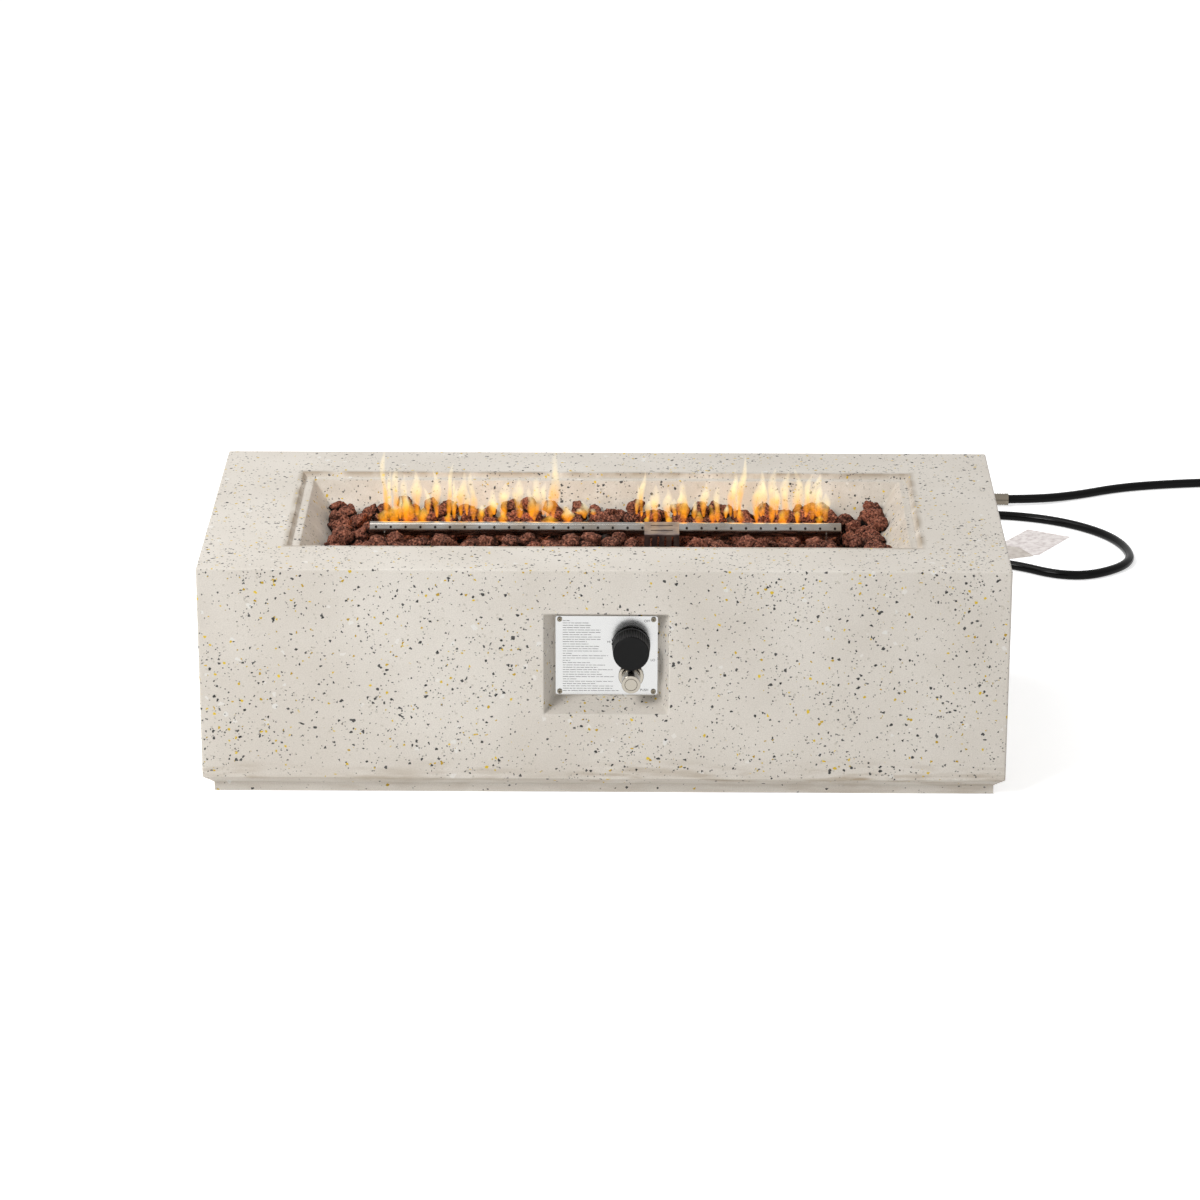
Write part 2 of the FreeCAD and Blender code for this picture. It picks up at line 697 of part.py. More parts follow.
def burner_tube():
    half = BURNER_LENGTH / 2 - END_CAP
    body = pipe(
        BURNER_RADIUS, BURNER_RADIUS - BURNER_WALL, V(-half, 0, BURNER_Z), V(half, 0, BURNER_Z)
    )
    tilt = math.radians(PORT_TILT)
    holes = [rod(PIPE_BORE, V(0, 0, BURNER_Z - BURNER_RADIUS - 1), V(0, 0, BURNER_Z))]
    for i in range(PORT_COUNT):
        x = (i - (PORT_COUNT - 1) / 2) * PORT_PITCH
        for side in (-1, 1):
            out = V(0, side * math.cos(tilt), math.sin(tilt))
            start = V(x, 0, BURNER_Z) + out * (BURNER_RADIUS - 2 * BURNER_WALL)
            holes.append(rod(PORT_HOLE_RADIUS, start, start + out * 3 * BURNER_WALL))
    return body.cut(holes)


def burner_end_caps():
    half = BURNER_LENGTH / 2
    caps = []
    for side in (-1, 1):
        inner = V(side * (half - END_CAP), 0, BURNER_Z)
        caps.append(rod(BURNER_RADIUS, inner, V(side * half, 0, BURNER_Z)))
    return caps


def burner_inlet_pipe():
    top = V(0, 0, BURNER_Z)
    stub = pipe(PIPE_RADIUS, PIPE_BORE, V(0, 0, PIPE_END_Z), top)
    return stub.cut(rod(BURNER_RADIUS, V(-30, 0, BURNER_Z), V(30, 0, BURNER_Z)))


def burner_support(side):
    """A folded foot on the bowl floor, with a saddle for the burner."""
    half = SUPPORT_WIDTH / 2
    x = SUPPORT_X
    plate = box(x - SHEET / 2, x + SHEET / 2, -half, half, BOWL_Z, BURNER_Z - 2)
    foot = box(x - SHEET / 2 - 16, x - SHEET / 2, -half, half, BOWL_Z, BOWL_Z + SHEET)
    solid = plate.fuse(foot).removeSplitter()
    solid = solid.cut(rod(BURNER_RADIUS, V(x - 30, 0, BURNER_Z), V(x + 30, 0, BURNER_Z)))
    for hole_x, hole_y in support_screw_places():
        start = V(hole_x, hole_y, BOWL_Z - 1)
        solid = solid.cut(rod(SCREW_SHANK_RADIUS, start, start + UP * 5))
    if side < 0:
        solid = solid.mirror(V(0, 0, 0), V(1, 0, 0))
    return solid


def floor_locknuts():
    nuts = []
    for z in (BOWL_Z, FLOOR_UNDER_Z - LOCKNUT_HEIGHT):
        nut = hexagon(LOCKNUT_FLATS, V(0, 0, z), V(0, 0, z + LOCKNUT_HEIGHT))
        nuts.append(nut.cut(rod(PIPE_RADIUS, V(0, 0, z), V(0, 0, z + LOCKNUT_HEIGHT))))
    return nuts


def air_mixer():
    body = rod(MIXER_RADIUS, V(0, 0, MIXER_END_Z), V(0, 0, MIXER_TOP_Z))
    body = body.cut(rod(PIPE_RADIUS, V(0, 0, PIPE_END_Z), V(0, 0, MIXER_TOP_Z)))
    body = body.cut(rod(PIPE_BORE, V(0, 0, MIXER_END_Z + 4), V(0, 0, PIPE_END_Z)))
    body = body.cut(rod(JET_STUB_RADIUS, V(0, 0, MIXER_END_Z), V(0, 0, MIXER_END_Z + 4)))
    window_z = MIXER_END_Z + 16
    far = MIXER_RADIUS + 1
    across = box(-far, far, -4, 4, window_z, window_z + 14)
    along = box(-4, 4, -far, far, window_z, window_z + 14)
    return body.cut([across, along])


def gas_orifice():
    body = hexagon(JET_FLATS, V(0, 0, JET_END_Z), V(0, 0, MIXER_END_Z))
    body = body.fuse(rod(JET_STUB_RADIUS, V(0, 0, MIXER_END_Z), V(0, 0, MIXER_END_Z + 9)))
    body = body.cut(rod(0.8, V(0, 0, MIXER_END_Z), V(0, 0, MIXER_END_Z + 9)))
    return body.cut(rod(2.5, V(0, 0, JET_END_Z), V(0, 0, MIXER_END_Z + 3)))


def gas_tube_nuts():
    low = V(0, 0, JET_END_Z)
    under = hexagon(JET_FLATS, low - UP * FLARE_NUT_LENGTH, low)
    under = under.cut(rod(GAS_TUBE_RADIUS, low - UP * FLARE_NUT_LENGTH, low))
    out = V(OUTLET_X, OUTLET_Y, KNOB_Z)
    back = out - V(FLARE_NUT_LENGTH, 0, 0)
    side = hexagon(JET_FLATS, back, out).cut(rod(GAS_TUBE_RADIUS, back, out))
    return [under, side]


def pilot_bracket():
    half = GUARD_WIDTH / 2 - GUARD_SHEET - 0.3
    front_y = -GUARD_DEPTH + GUARD_SHEET + 0.3
    plate = box(GUARD_X - half, GUARD_X + half, front_y, -12, BOWL_Z, BRACKET_Z)
    holes = [
        rod(SENSOR_RADIUS, V(THERMOCOUPLE_X, PILOT_Y, BOWL_Z), V(THERMOCOUPLE_X, PILOT_Y, BRACKET_Z)),
        rod(CERAMIC_RADIUS, V(ELECTRODE_X, PILOT_Y, BOWL_Z), V(ELECTRODE_X, PILOT_Y, BRACKET_Z)),
    ]
    for x, y in guard_screw_places():
        holes.append(rod(SCREW_SHANK_RADIUS, V(x, y, BOWL_Z), V(x, y, BRACKET_Z)))
    return plate.cut(holes)


def igniter_guard():
    """A folded hood: slotted top and front, two cheeks, and a foot on the bracket."""
    half = GUARD_WIDTH / 2
    x0 = GUARD_X - half
    x1 = GUARD_X + half
    inner_z = GUARD_TOP_Z - GUARD_SHEET
    top = box(x0, x1, -GUARD_DEPTH, 0, inner_z, GUARD_TOP_Z)
    front = box(x0, x1, -GUARD_DEPTH, -GUARD_DEPTH + GUARD_SHEET, BRACKET_Z, inner_z)
    cheek_y = -BURNER_RADIUS - 2.5
    cheeks = []
    for x in (x0, x1 - GUARD_SHEET):
        cheeks.append(box(x, x + GUARD_SHEET, -GUARD_DEPTH, cheek_y, BRACKET_Z, inner_z))
    foot = box(x0, x1, -GUARD_DEPTH, -GUARD_DEPTH + GUARD_FOOT, BRACKET_Z, BRACKET_Z + GUARD_SHEET)
    hood = top.fuse([front, foot] + cheeks).removeSplitter()
    edge = picked(
        hood,
        lambda a, b: abs(a.z - GUARD_TOP_Z) + abs(b.z - GUARD_TOP_Z) < 0.1
        and abs(a.y + GUARD_DEPTH) + abs(b.y + GUARD_DEPTH) < 0.1,
    )
    hood = hood.makeFillet(1.5, edge)
    slots = []
    for share in (0.3, 0.7):
        y = -GUARD_DEPTH * share
        slots.append(box(GUARD_X - 15, GUARD_X + 15, y - 1.3, y + 1.3, inner_z - 1, GUARD_TOP_Z + 1))
    for i in range(4):
        x = GUARD_X + (i - 1.5) * 9.7
        slots.append(
            box(
                x - 1.35,
                x + 1.35,
                -GUARD_DEPTH - 1,
                -GUARD_DEPTH + GUARD_SHEET + 1,
                GUARD_TOP_Z - 52,
                GUARD_TOP_Z - 3.6,
            )
        )
    for x, y in guard_screw_places():
        slots.append(rod(SCREW_SHANK_RADIUS, V(x, y, BRACKET_Z - 1), V(x, y, BRACKET_Z + 3)))
    return hood.cut(slots)


def electrode_insulator():
    low = V(ELECTRODE_X, PILOT_Y, BOWL_Z - 32)
    high = V(ELECTRODE_X, PILOT_Y, BOWL_Z + 38)
    seat = V(ELECTRODE_X, PILOT_Y, BRACKET_Z)
    body = rod(CERAMIC_RADIUS, low, high).fuse(rod(CERAMIC_RADIUS + 1.5, seat, seat + UP * 5))
    return body.cut(rod(PIN_RADIUS, low, high))


def thermocouple():
    low = V(THERMOCOUPLE_X, PILOT_Y, BOWL_Z - 34)
    tip = V(THERMOCOUPLE_X, PILOT_Y, BURNER_Z - 6)
    seat = V(THERMOCOUPLE_X, PILOT_Y, BRACKET_Z)
    return rod(SENSOR_RADIUS, low, tip).fuse(hexagon(9.0, seat, seat + UP * 5))


def control_plate():
    half_x = PLATE_WIDTH / 2
    half_z = PLATE_HEIGHT / 2
    plate = box(
        PANEL_X - half_x,
        PANEL_X + half_x,
        PLATE_Y,
        RECESS_Y,
        PANEL_Z - half_z,
        PANEL_Z + half_z,
    )
    corners = picked(plate, lambda a, b: abs(a.y - b.y) > PLATE_THICKNESS / 2)
    plate = plate.makeFillet(PLATE_CORNER, corners)
    front = V(0, PLATE_Y - 1, 0)
    back = V(0, RECESS_Y + 1, 0)
    knob = V(KNOB_X, 0, KNOB_Z)
    button = V(BUTTON_X, 0, BUTTON_Z)
    holes = [rod(STEM_RADIUS + 2, knob + front, knob + back)]
    holes.append(rod(BARREL_RADIUS, button + front, button + back))
    for side in (-1, 1):
        place = knob + V(side * VALVE_SCREW_SPAN / 2, 0, 0)
        holes.append(rod(SCREW_SHANK_RADIUS, place + front, place + back))
    for x, z in plate_corners():
        holes.append(rod(SCREW_SHANK_RADIUS, V(x, 0, z) + front, V(x, 0, z) + back))
    return plate.cut(holes)


def on_knob_axis(y):
    return V(KNOB_X, y, KNOB_Z)


def valve_body():
    half = VALVE_FLANGE / 2
    flange = box(
        KNOB_X - half,
        KNOB_X + half,
        RECESS_Y,
        RECESS_Y + VALVE_FLANGE_THICKNESS,
        KNOB_Z - half,
        KNOB_Z + half,
    )
    barrel = rod(VALVE_RADIUS, on_knob_axis(RECESS_Y), on_knob_axis(VALVE_BACK_Y))
    inlet = V(INLET_X, INLET_Y, KNOB_Z)
    outlet = V(OUTLET_X, OUTLET_Y, KNOB_Z)
    ports = [
        rod(PORT_RADIUS, on_knob_axis(INLET_Y), inlet),
        rod(PORT_RADIUS, outlet, on_knob_axis(OUTLET_Y)),
    ]
    solid = flange.fuse([barrel] + ports).removeSplitter()
    plug_end = PLUG_BACK_Y + 0.3
    cuts = [
        rod(PLUG_RADIUS + FIT, on_knob_axis(RECESS_Y), on_knob_axis(plug_end)),
        rod(PLUG_RADIUS - 3, on_knob_axis(plug_end), on_knob_axis(VALVE_BACK_Y)),
        rod(MAGNET_THREAD_RADIUS, on_knob_axis(VALVE_BACK_Y - 8), on_knob_axis(VALVE_BACK_Y)),
        rod(PORT_BORE, on_knob_axis(INLET_Y), inlet),
        rod(PORT_BORE, outlet, on_knob_axis(OUTLET_Y)),
    ]
    for side in (-1, 1):
        start = on_knob_axis(RECESS_Y) + V(side * VALVE_SCREW_SPAN / 2, 0, 0)
        cuts.append(rod(SCREW_SHANK_RADIUS, start, start + V(0, SCREW_BITE, 0)))
    return solid.cut(cuts)


def stem_profile(radius, flat, y0, y1):
    """A round bar along the knob's axis with one flat above its middle."""
    bar = rod(radius, on_knob_axis(y0), on_knob_axis(y1))
    top = box(KNOB_X - 20, KNOB_X + 20, y0, y1, KNOB_Z + flat, KNOB_Z + 30)
    return bar.cut(top)


COLLAR_Y = PLUG_FRONT_Y + 10.0
COLLAR = 2.5
STEM_FRONT_Y = KNOB_FACE_Y + 12.0


def valve_plug():
    body = rod(PLUG_RADIUS, on_knob_axis(PLUG_FRONT_Y), on_knob_axis(PLUG_BACK_Y))
    body = body.cut(rod(STEM_RADIUS + 2.6, on_knob_axis(COLLAR_Y), on_knob_axis(PLUG_BACK_Y)))
    slot = stem_profile(STEM_RADIUS + FIT, STEM_FLAT + FIT, PLUG_FRONT_Y, COLLAR_Y)
    middle = on_knob_axis(OUTLET_Y)
    gas_way = rod(PORT_BORE, middle - V(20, 0, 0), middle + V(20, 0, 0))
    return body.cut([slot, gas_way])


def valve_stem():
    shank = stem_profile(STEM_RADIUS, STEM_FLAT, STEM_FRONT_Y, COLLAR_Y + 0.3)
    collar = rod(STEM_RADIUS + 2, on_knob_axis(COLLAR_Y + 0.3), on_knob_axis(COLLAR_Y + COLLAR))
    return shank.fuse(collar)


def coil_spring(name, start, end, radius, wire, turns):
    """A helical spring along +Y between two points on its axis."""
    rise = (end - start).Length - wire
    steps = 8 * turns
    points = []
    for i in range(steps + 1):
        angle = 2 * math.pi * i / 8
        out = V(radius * math.cos(angle), wire / 2 + rise * i / steps, radius * math.sin(angle))
        points.append(start + out)
    return tube(name, points, wire / 2)


def safety_magnet():
    body = rod(MAGNET_RADIUS, on_knob_axis(VALVE_BACK_Y), on_knob_axis(MAGNET_END_Y))
    return body.fuse(
        rod(MAGNET_THREAD_RADIUS, on_knob_axis(VALVE_BACK_Y - 8), on_knob_axis(VALVE_BACK_Y))
    )


def valve_screws():
    screws = []
    for side in (-1, 1):
        head = on_knob_axis(PLATE_Y) + V(side * VALVE_SCREW_SPAN / 2, 0, 0)
        screws.append(screw(head, V(0, 1, 0), 20))
    return screws


def knob():
    """The hollow knob, turned about its axis, with a hub on the stem."""
    axis = on_knob_axis(KNOB_BASE_Y)
    length = KNOB_LENGTH
    shell = Part.makeCone(KNOB_BASE_RADIUS, KNOB_FACE_RADIUS, length, axis, V(0, -1, 0))
    face = [e for e in shell.Edges if len(e.Vertexes) == 1 and e.CenterOfMass.y < KNOB_FACE_Y + 1]
    shell = shell.makeFillet(1.6, face)
    inner = KNOB_FACE_RADIUS - KNOB_WALL
    shell = shell.cut(rod(inner, axis, on_knob_axis(KNOB_FACE_Y + KNOB_WALL + 2)))
    shell = shell.fuse(
        rod(KNOB_HUB_RADIUS, on_knob_axis(KNOB_BASE_Y - 3), on_knob_axis(KNOB_FACE_Y + KNOB_WALL))
    )
    return shell.cut(stem_profile(STEM_RADIUS, STEM_FLAT, STEM_FRONT_Y, KNOB_BASE_Y + 1))


def on_button_axis(y):
    return V(BUTTON_X, y, BUTTON_Z)


def igniter_barrel():
    """The bezel with its notches, the sleeve in front and the barrel behind."""
    bezel_y = PLATE_Y - BEZEL_HEIGHT
    body = rod(BEZEL_RADIUS, on_button_axis(bezel_y), on_button_axis(PLATE_Y))
    edge = [e for e in body.Edges if len(e.Vertexes) == 1 and e.CenterOfMass.y < bezel_y + 0.1]
    body = body.makeFillet(1.2, edge)
    body = body.fuse(rod(BARREL_RADIUS, on_button_axis(bezel_y), on_button_axis(BARREL_END_Y)))
    front_y = bezel_y - SLEEVE_LENGTH
    body = body.fuse(rod(SLEEVE_RADIUS, on_button_axis(front_y), on_button_axis(bezel_y)))
    bore = BATTERY_RADIUS + BATTERY_PLAY
    cuts = [rod(bore, on_button_axis(front_y), on_button_axis(BARREL_END_Y))]
    for i in range(4):
        notch = box(
            BUTTON_X + BEZEL_RADIUS - 1.5,
            BUTTON_X + BEZEL_RADIUS + 1,
            bezel_y - 1,
            PLATE_Y - 1,
            BUTTON_Z - 2,
            BUTTON_Z + 2,
        )
        notch.rotate(on_button_axis(0), V(0, 1, 0), 45 + 90 * i)
        cuts.append(notch)
    return body.cut(cuts)


def igniter_nut():
    start = on_button_axis(RECESS_Y)
    end = on_button_axis(RECESS_Y + IGNITER_NUT_HEIGHT)
    return hexagon(IGNITER_NUT_FLATS, start, end).cut(rod(BARREL_RADIUS, start, end))


def igniter_battery():
    start_y = BATTERY_END_Y - BATTERY_LENGTH
    body = rod(BATTERY_RADIUS, on_button_axis(start_y), on_button_axis(BATTERY_END_Y - 1))
    return body.fuse(rod(2.7, on_button_axis(BATTERY_END_Y - 1), on_button_axis(BATTERY_END_Y)))


def igniter_module():
    inner = rod(
        BATTERY_RADIUS + BATTERY_PLAY, on_button_axis(BATTERY_END_Y), on_button_axis(BARREL_END_Y)
    )
    cap = rod(BARREL_RADIUS, on_button_axis(BARREL_END_Y), on_button_axis(MODULE_END_Y - 6))
    boot = rod(3.0, on_button_axis(MODULE_END_Y - 6), on_button_axis(MODULE_END_Y))
    return inner.fuse([cap, boot])


def igniter_button():
    body = rod(BUTTON_RADIUS, on_button_axis(BUTTON_FACE_Y), on_button_axis(BUTTON_BASE_Y))
    edge = [e for e in body.Edges if len(e.Vertexes) == 1 and e.CenterOfMass.y < BUTTON_FACE_Y + 1]
    body = body.makeFillet(1.0, edge)
    ring = pipe(
        8.6, 7.6, on_button_axis(BUTTON_FACE_Y - 1), on_button_axis(BUTTON_FACE_Y + 0.5)
    )
    bore = rod(
        SLEEVE_RADIUS + FIT,
        on_button_axis(BUTTON_FACE_Y + BUTTON_FACE),
        on_button_axis(BUTTON_BASE_Y),
    )
    return body.cut([ring, bore])


def half_space_cut(faces, normal, reach):
    """Keeps the part of a convex solid, given as its faces, where normal . p <= reach."""
    kept = []
    rim = []
    for face in faces:
        out = []
        for a, b in zip(face, face[1:] + face[:1]):
            da = normal.dot(a) - reach
            db = normal.dot(b) - reach
            if da <= 0:
                out.append(a)
            if (da < 0 < db) or (db < 0 < da):
                crossing = a + (b - a) * (da / (da - db))
                out.append(crossing)
                rim.append(crossing)
            elif da == 0:
                rim.append(a)
        if len(out) > 2:
            kept.append(out)
    single = []
    for p in rim:
        if all((p - q).Length > 1e-6 for q in single):
            single.append(p)
    if len(single) > 2:
        middle = V(0, 0, 0)
        for p in single:
            middle += p * (1 / len(single))
        first = single[0] - middle
        second = normal.cross(first)
        single.sort(key=lambda p: math.atan2((p - middle).dot(second), (p - middle).dot(first)))
        kept.append(single)
    return kept


def rock_places(draw):
    """A jittered grid of rock middles over the bowl, closer together than the rocks' height."""
    width = 2 * bowl_half(BOWL_Z + ROCK_HEIGHT * 0.6, LIP_X)
    depth = 2 * bowl_half(BOWL_Z + ROCK_HEIGHT * 0.6, LIP_Y)
    pitch_x = width / ROCK_COLUMNS
    pitch_y = depth / ROCK_ROWS
    places = []
    for row in range(ROCK_ROWS):
        for column in range(ROCK_COLUMNS):
            x = (column - (ROCK_COLUMNS - 1) / 2 + 0.3 * (row % 2) - 0.15) * pitch_x
            y = (row - (ROCK_ROWS - 1) / 2) * pitch_y
            x += draw.uniform(-ROCK_JITTER, ROCK_JITTER) * pitch_x
            if row != ROCK_ROWS // 2:
                y += draw.uniform(-ROCK_JITTER, ROCK_JITTER) * pitch_y * 0.8
            z = BOWL_Z + ROCK_HEIGHT / 2 + draw.uniform(-6, 6)
            places.append(V(x, y, z))
    return places


def rock_limits(place, draw):
    """Planes that every rock stays behind: floor, bowl walls, burner and its own worn corners."""
    limits = [(V(0, 0, -1), -BOWL_Z - ROCK_GAP)]
    lean = math.hypot(1, BOWL_SLOPE)
    for side in (-1, 1):
        for along, lip in ((V(1, 0, 0), LIP_X), (V(0, 1, 0), LIP_Y)):
            normal = (along * side - UP * BOWL_SLOPE) * (1 / lean)
            reach = (lip - BOWL_SLOPE * LEDGE_Z) / lean - ROCK_GAP
            limits.append((normal, reach))
        for other in (-1, 1):
            corner = V(side, other, -2 * BOWL_SLOPE)
            reach = LIP_X + LIP_Y - 2 * BOWL_SLOPE * LEDGE_Z - BOWL_CORNER_ROUND
            limits.append((corner * (1 / corner.Length), reach / corner.Length))
    top = BOWL_Z + ROCK_HEIGHT + draw.uniform(-5, 4)
    if place.y > BURNER_RADIUS:
        top += ROCK_LIFT_BEHIND
    beyond_burner = abs(place.x) > BURNER_LENGTH / 2
    if beyond_burner:
        top += ROCK_LIFT_ENDS
    clear = BURNER_RADIUS + 1
    if not beyond_burner and abs(place.y) < clear:
        top = min(top, BURNER_Z - BURNER_RADIUS - ROCK_GAP)
    limits.append((UP, top))
    if not beyond_burner and abs(place.y) >= clear:
        side = 1 if place.y > 0 else -1
        limits.append((V(0, -side, 0), -clear))
    if beyond_burner:
        side = 1 if place.x > 0 else -1
        limits.append((V(-side, 0, 0), -(BURNER_LENGTH / 2 + 1)))
    start = draw.uniform(0, 90)
    for i in range(6):
        angle = math.radians(start + 60 * i + draw.uniform(-14, 14))
        rise = draw.uniform(0.8, 1.7)
        normal = V(math.cos(angle), math.sin(angle), rise)
        normal = normal * (1 / normal.Length)
        corner = V(place.x, place.y, top) + V(math.cos(angle), math.sin(angle), 0) * 12
        limits.append((normal, normal.dot(corner) - draw.uniform(0, 1.5)))
    return limits


def blocked_places():
    """Plan outlines that no rock may enter: (low x, high x, low y, high y)."""
    half = GUARD_WIDTH / 2 + 1
    nut = LOCKNUT_FLATS / math.sqrt(3) + 1
    foot = SUPPORT_WIDTH / 2 + 1
    blocked = [(GUARD_X - half, GUARD_X + half, -GUARD_DEPTH - 1, 1), (-nut, nut, -nut, nut)]
    for side in (-1, 1):
        ends = sorted((side * (SUPPORT_X - 19), side * (SUPPORT_X + 2)))
        blocked.append((ends[0], ends[1], -foot, foot))
    return blocked


def lava_rocks():
    """Loose rocks: convex cells round a jittered grid of middles, a hair apart."""
    draw = random.Random(ROCK_SEED)
    places = rock_places(draw)
    rocks = []
    for place in places:
        limits = rock_limits(place, draw)
        inside = False
        for x0, x1, y0, y1 in blocked_places():
            ways = [
                (place.x - x1, V(-1, 0, 0), -x1),
                (x0 - place.x, V(1, 0, 0), x0),
                (place.y - y1, V(0, -1, 0), -y1),
                (y0 - place.y, V(0, 1, 0), y0),
            ]
            room, normal, reach = max(ways, key=lambda way: way[0])
            inside = inside or room < 4
            limits.append((normal, reach))
        if inside:
            continue
        for other in places:
            gap = other - place
            if 0 < gap.Length < 140:
                normal = gap * (1 / gap.Length)
                limits.append((normal, normal.dot((place + other) * 0.5) - ROCK_GAP / 2))
        span = 90.0
        start = prismoid(
            (place.x, place.y, span, span, place.z - span),
            (place.x, place.y, span, span, place.z + span),
        )
        faces = [[v.Point for v in f.OuterWire.OrderedVertexes] for f in start.Faces]
        middle = place
        for i, face in enumerate(faces):
            normal = (face[1] - face[0]).cross(face[2] - face[1])
            if normal.dot(face[0] - middle) < 0:
                faces[i] = face[::-1]
        for normal, reach in limits:
            faces = half_space_cut(faces, normal, reach)
            if len(faces) < 4:
                break
        if len(faces) < 4:
            continue
        rock = flat_sided(faces)
        if rock.isValid() and rock.Volume > SMALLEST_ROCK:
            rocks.append(rock)
    return rocks


def hose_grommet():
    wall_y = BACK - WALL
    at = V(GROMMET_X, 0, GROMMET_Z)
    sleeve = rod(GROMMET_SLEEVE_RADIUS, at + V(0, wall_y, 0), at + V(0, BACK, 0))
    outer = rod(GROMMET_FLANGE_RADIUS, at + V(0, BACK - GROMMET_FLANGE, 0), at + V(0, BACK, 0))
    inner = rod(
        GROMMET_FLANGE_RADIUS - 2, at + V(0, wall_y - GROMMET_FLANGE, 0), at + V(0, wall_y, 0)
    )
    body = sleeve.fuse([outer, inner])
    return body.cut(rod(HOSE_RADIUS, at + V(0, wall_y - 5, 0), at + V(0, BACK + 1, 0)))


def crimped(start, end):
    """A crimped ferrule round the end of a hose, with five pressed rings."""
    body = pipe(FERRULE_RADIUS, HOSE_RADIUS, start, end)
    along = (end - start) * (1 / (end - start).Length)
    for i in range(5):
        at = start + along * (3.5 + 4 * i)
        body = body.cut(pipe(FERRULE_RADIUS + 1, FERRULE_RADIUS - 0.6, at, at + along * 1.6))
    return body


def hose_union():
    start = COUPLING
    neck = start + V(8, 0, 0)
    shoulder = start + V(24, 0, 0)
    end = start + V(UNION_LENGTH, 0, 0)
    body = rod(7.0, start, neck)
    body = body.fuse([hexagon(UNION_FLATS, neck, shoulder), rod(8.0, shoulder, end)])
    return body.cut(rod(3.5, start, end))


SWIVEL_END = COUPLING + V(UNION_LENGTH + SWIVEL_REACH, 0, 0)


def swivel_nut():
    start = COUPLING + V(27, 0, 0)
    face = COUPLING + V(UNION_LENGTH, 0, 0)
    body = hexagon(SWIVEL_FLATS, start, SWIVEL_END)
    return body.cut([rod(8.0, start, face), rod(INSERT_RADIUS, face, SWIVEL_END)])


def supply_ferrule():
    start = COUPLING + V(UNION_LENGTH, 0, 0)
    hose = SUPPLY_POINTS[0]
    stem = rod(INSERT_RADIUS, start, hose).cut(rod(3.5, start, hose))
    return stem.fuse(crimped(hose, hose + V(FERRULE_LENGTH + 3, 0, 0)))


def supply_coil():
    low = COIL + UP * 0.05
    high = COIL + UP * (COIL_TOP_Z + HOSE_RADIUS)
    return pipe(COIL_RADIUS + HOSE_RADIUS, COIL_RADIUS - HOSE_RADIUS, low, high)


REGULATOR_X = REGULATOR_PORT.x
REGULATOR_Y = REGULATOR_PORT.y - 10 - REGULATOR_RADIUS
NUT_BACK_Y = REGULATOR_Y - REGULATOR_RADIUS - 9
FLANGE_BACK_Y = NUT_BACK_Y - NUT_WALL - 0.3
NUT_MOUTH_Y = NUT_BACK_Y - NUT_LENGTH


def on_regulator_axis(y):
    return V(REGULATOR_X, y, REGULATOR_AXIS_Z)


def regulator_body():
    middle = V(REGULATOR_X, REGULATOR_Y, 0)
    dish = rod(REGULATOR_RADIUS, middle + UP * 0.6, middle + UP * 22)
    rim = [e for e in dish.Edges if len(e.Vertexes) == 1 and e.CenterOfMass.z < 1]
    dish = dish.makeFillet(5, rim)
    port = rod(10.0, REGULATOR_PORT, on_regulator_axis(REGULATOR_Y))
    inlet = rod(12.0, on_regulator_axis(REGULATOR_Y), on_regulator_axis(NUT_BACK_Y + 1))
    cover = rod(REGULATOR_RADIUS, middle + UP * 22, middle + UP * 60)
    return dish.fuse([port.cut(cover), inlet.cut(cover)]).removeSplitter()


def regulator_cap():
    middle = V(REGULATOR_X, REGULATOR_Y, 0)
    lid = rod(REGULATOR_RADIUS - 1, middle + UP * 22, middle + UP * 25)
    dome = Part.makeCone(REGULATOR_RADIUS - 5, 16, 10, middle + UP * 25, UP)
    vent = rod(5.0, middle + V(12, 0, 28), middle + V(12, 0, 37))
    return lid.fuse([dome, vent]).removeSplitter()


def inlet_nipple():
    body = rod(NIPPLE_RADIUS, on_regulator_axis(NUT_BACK_Y + 1), on_regulator_axis(NUT_MOUTH_Y + 14))
    tip = rod(4.5, on_regulator_axis(NUT_MOUTH_Y + 14), on_regulator_axis(NUT_MOUTH_Y + 3))
    flange = rod(10.5, on_regulator_axis(FLANGE_BACK_Y), on_regulator_axis(FLANGE_BACK_Y - 3))
    body = body.fuse([tip, flange])
    return body.cut(rod(2.5, on_regulator_axis(NUT_BACK_Y + 1), on_regulator_axis(NUT_MOUTH_Y)))


def coupling_nut():
    back = on_regulator_axis(NUT_BACK_Y)
    wall = on_regulator_axis(NUT_BACK_Y - NUT_WALL)
    mouth = on_regulator_axis(NUT_MOUTH_Y)
    body = rod(NUT_RADIUS, back, mouth)
    body = body.cut([rod(NIPPLE_RADIUS + FIT, back, wall), rod(15.0, wall, mouth)])
    for i in range(12):
        angle = math.radians(30 * i)
        out = V(math.cos(angle), 0, math.sin(angle)) * (NUT_RADIUS + 1.2)
        body = body.cut(rod(2.4, wall + out, mouth + out))
    return body


def hose_tag():
    """A blank paper tag: a flag on the ground and a band round the hose."""
    z = TAG_Z - HOSE_RADIUS - TAG_THICKNESS
    corners = [behind(x, y, z) for x, y in TAG_OUTLINE]
    flag = Part.Face(Part.makePolygon(corners + corners[:1])).extrude(UP * TAG_THICKNESS)
    stretch = LEAD_POINTS[7:11]
    middle = (stretch[1] + stretch[2]) * 0.5
    along = (stretch[2] - stretch[1]) * (1 / (stretch[2] - stretch[1]).Length)
    clip = rod(30.0, middle - along * TAG_WIDTH / 2, middle + along * TAG_WIDTH / 2)
    band = tube("tag band", stretch, HOSE_RADIUS + TAG_THICKNESS).common(clip)
    return flag.fuse(band).cut(tube("hose in the tag", stretch, HOSE_RADIUS))


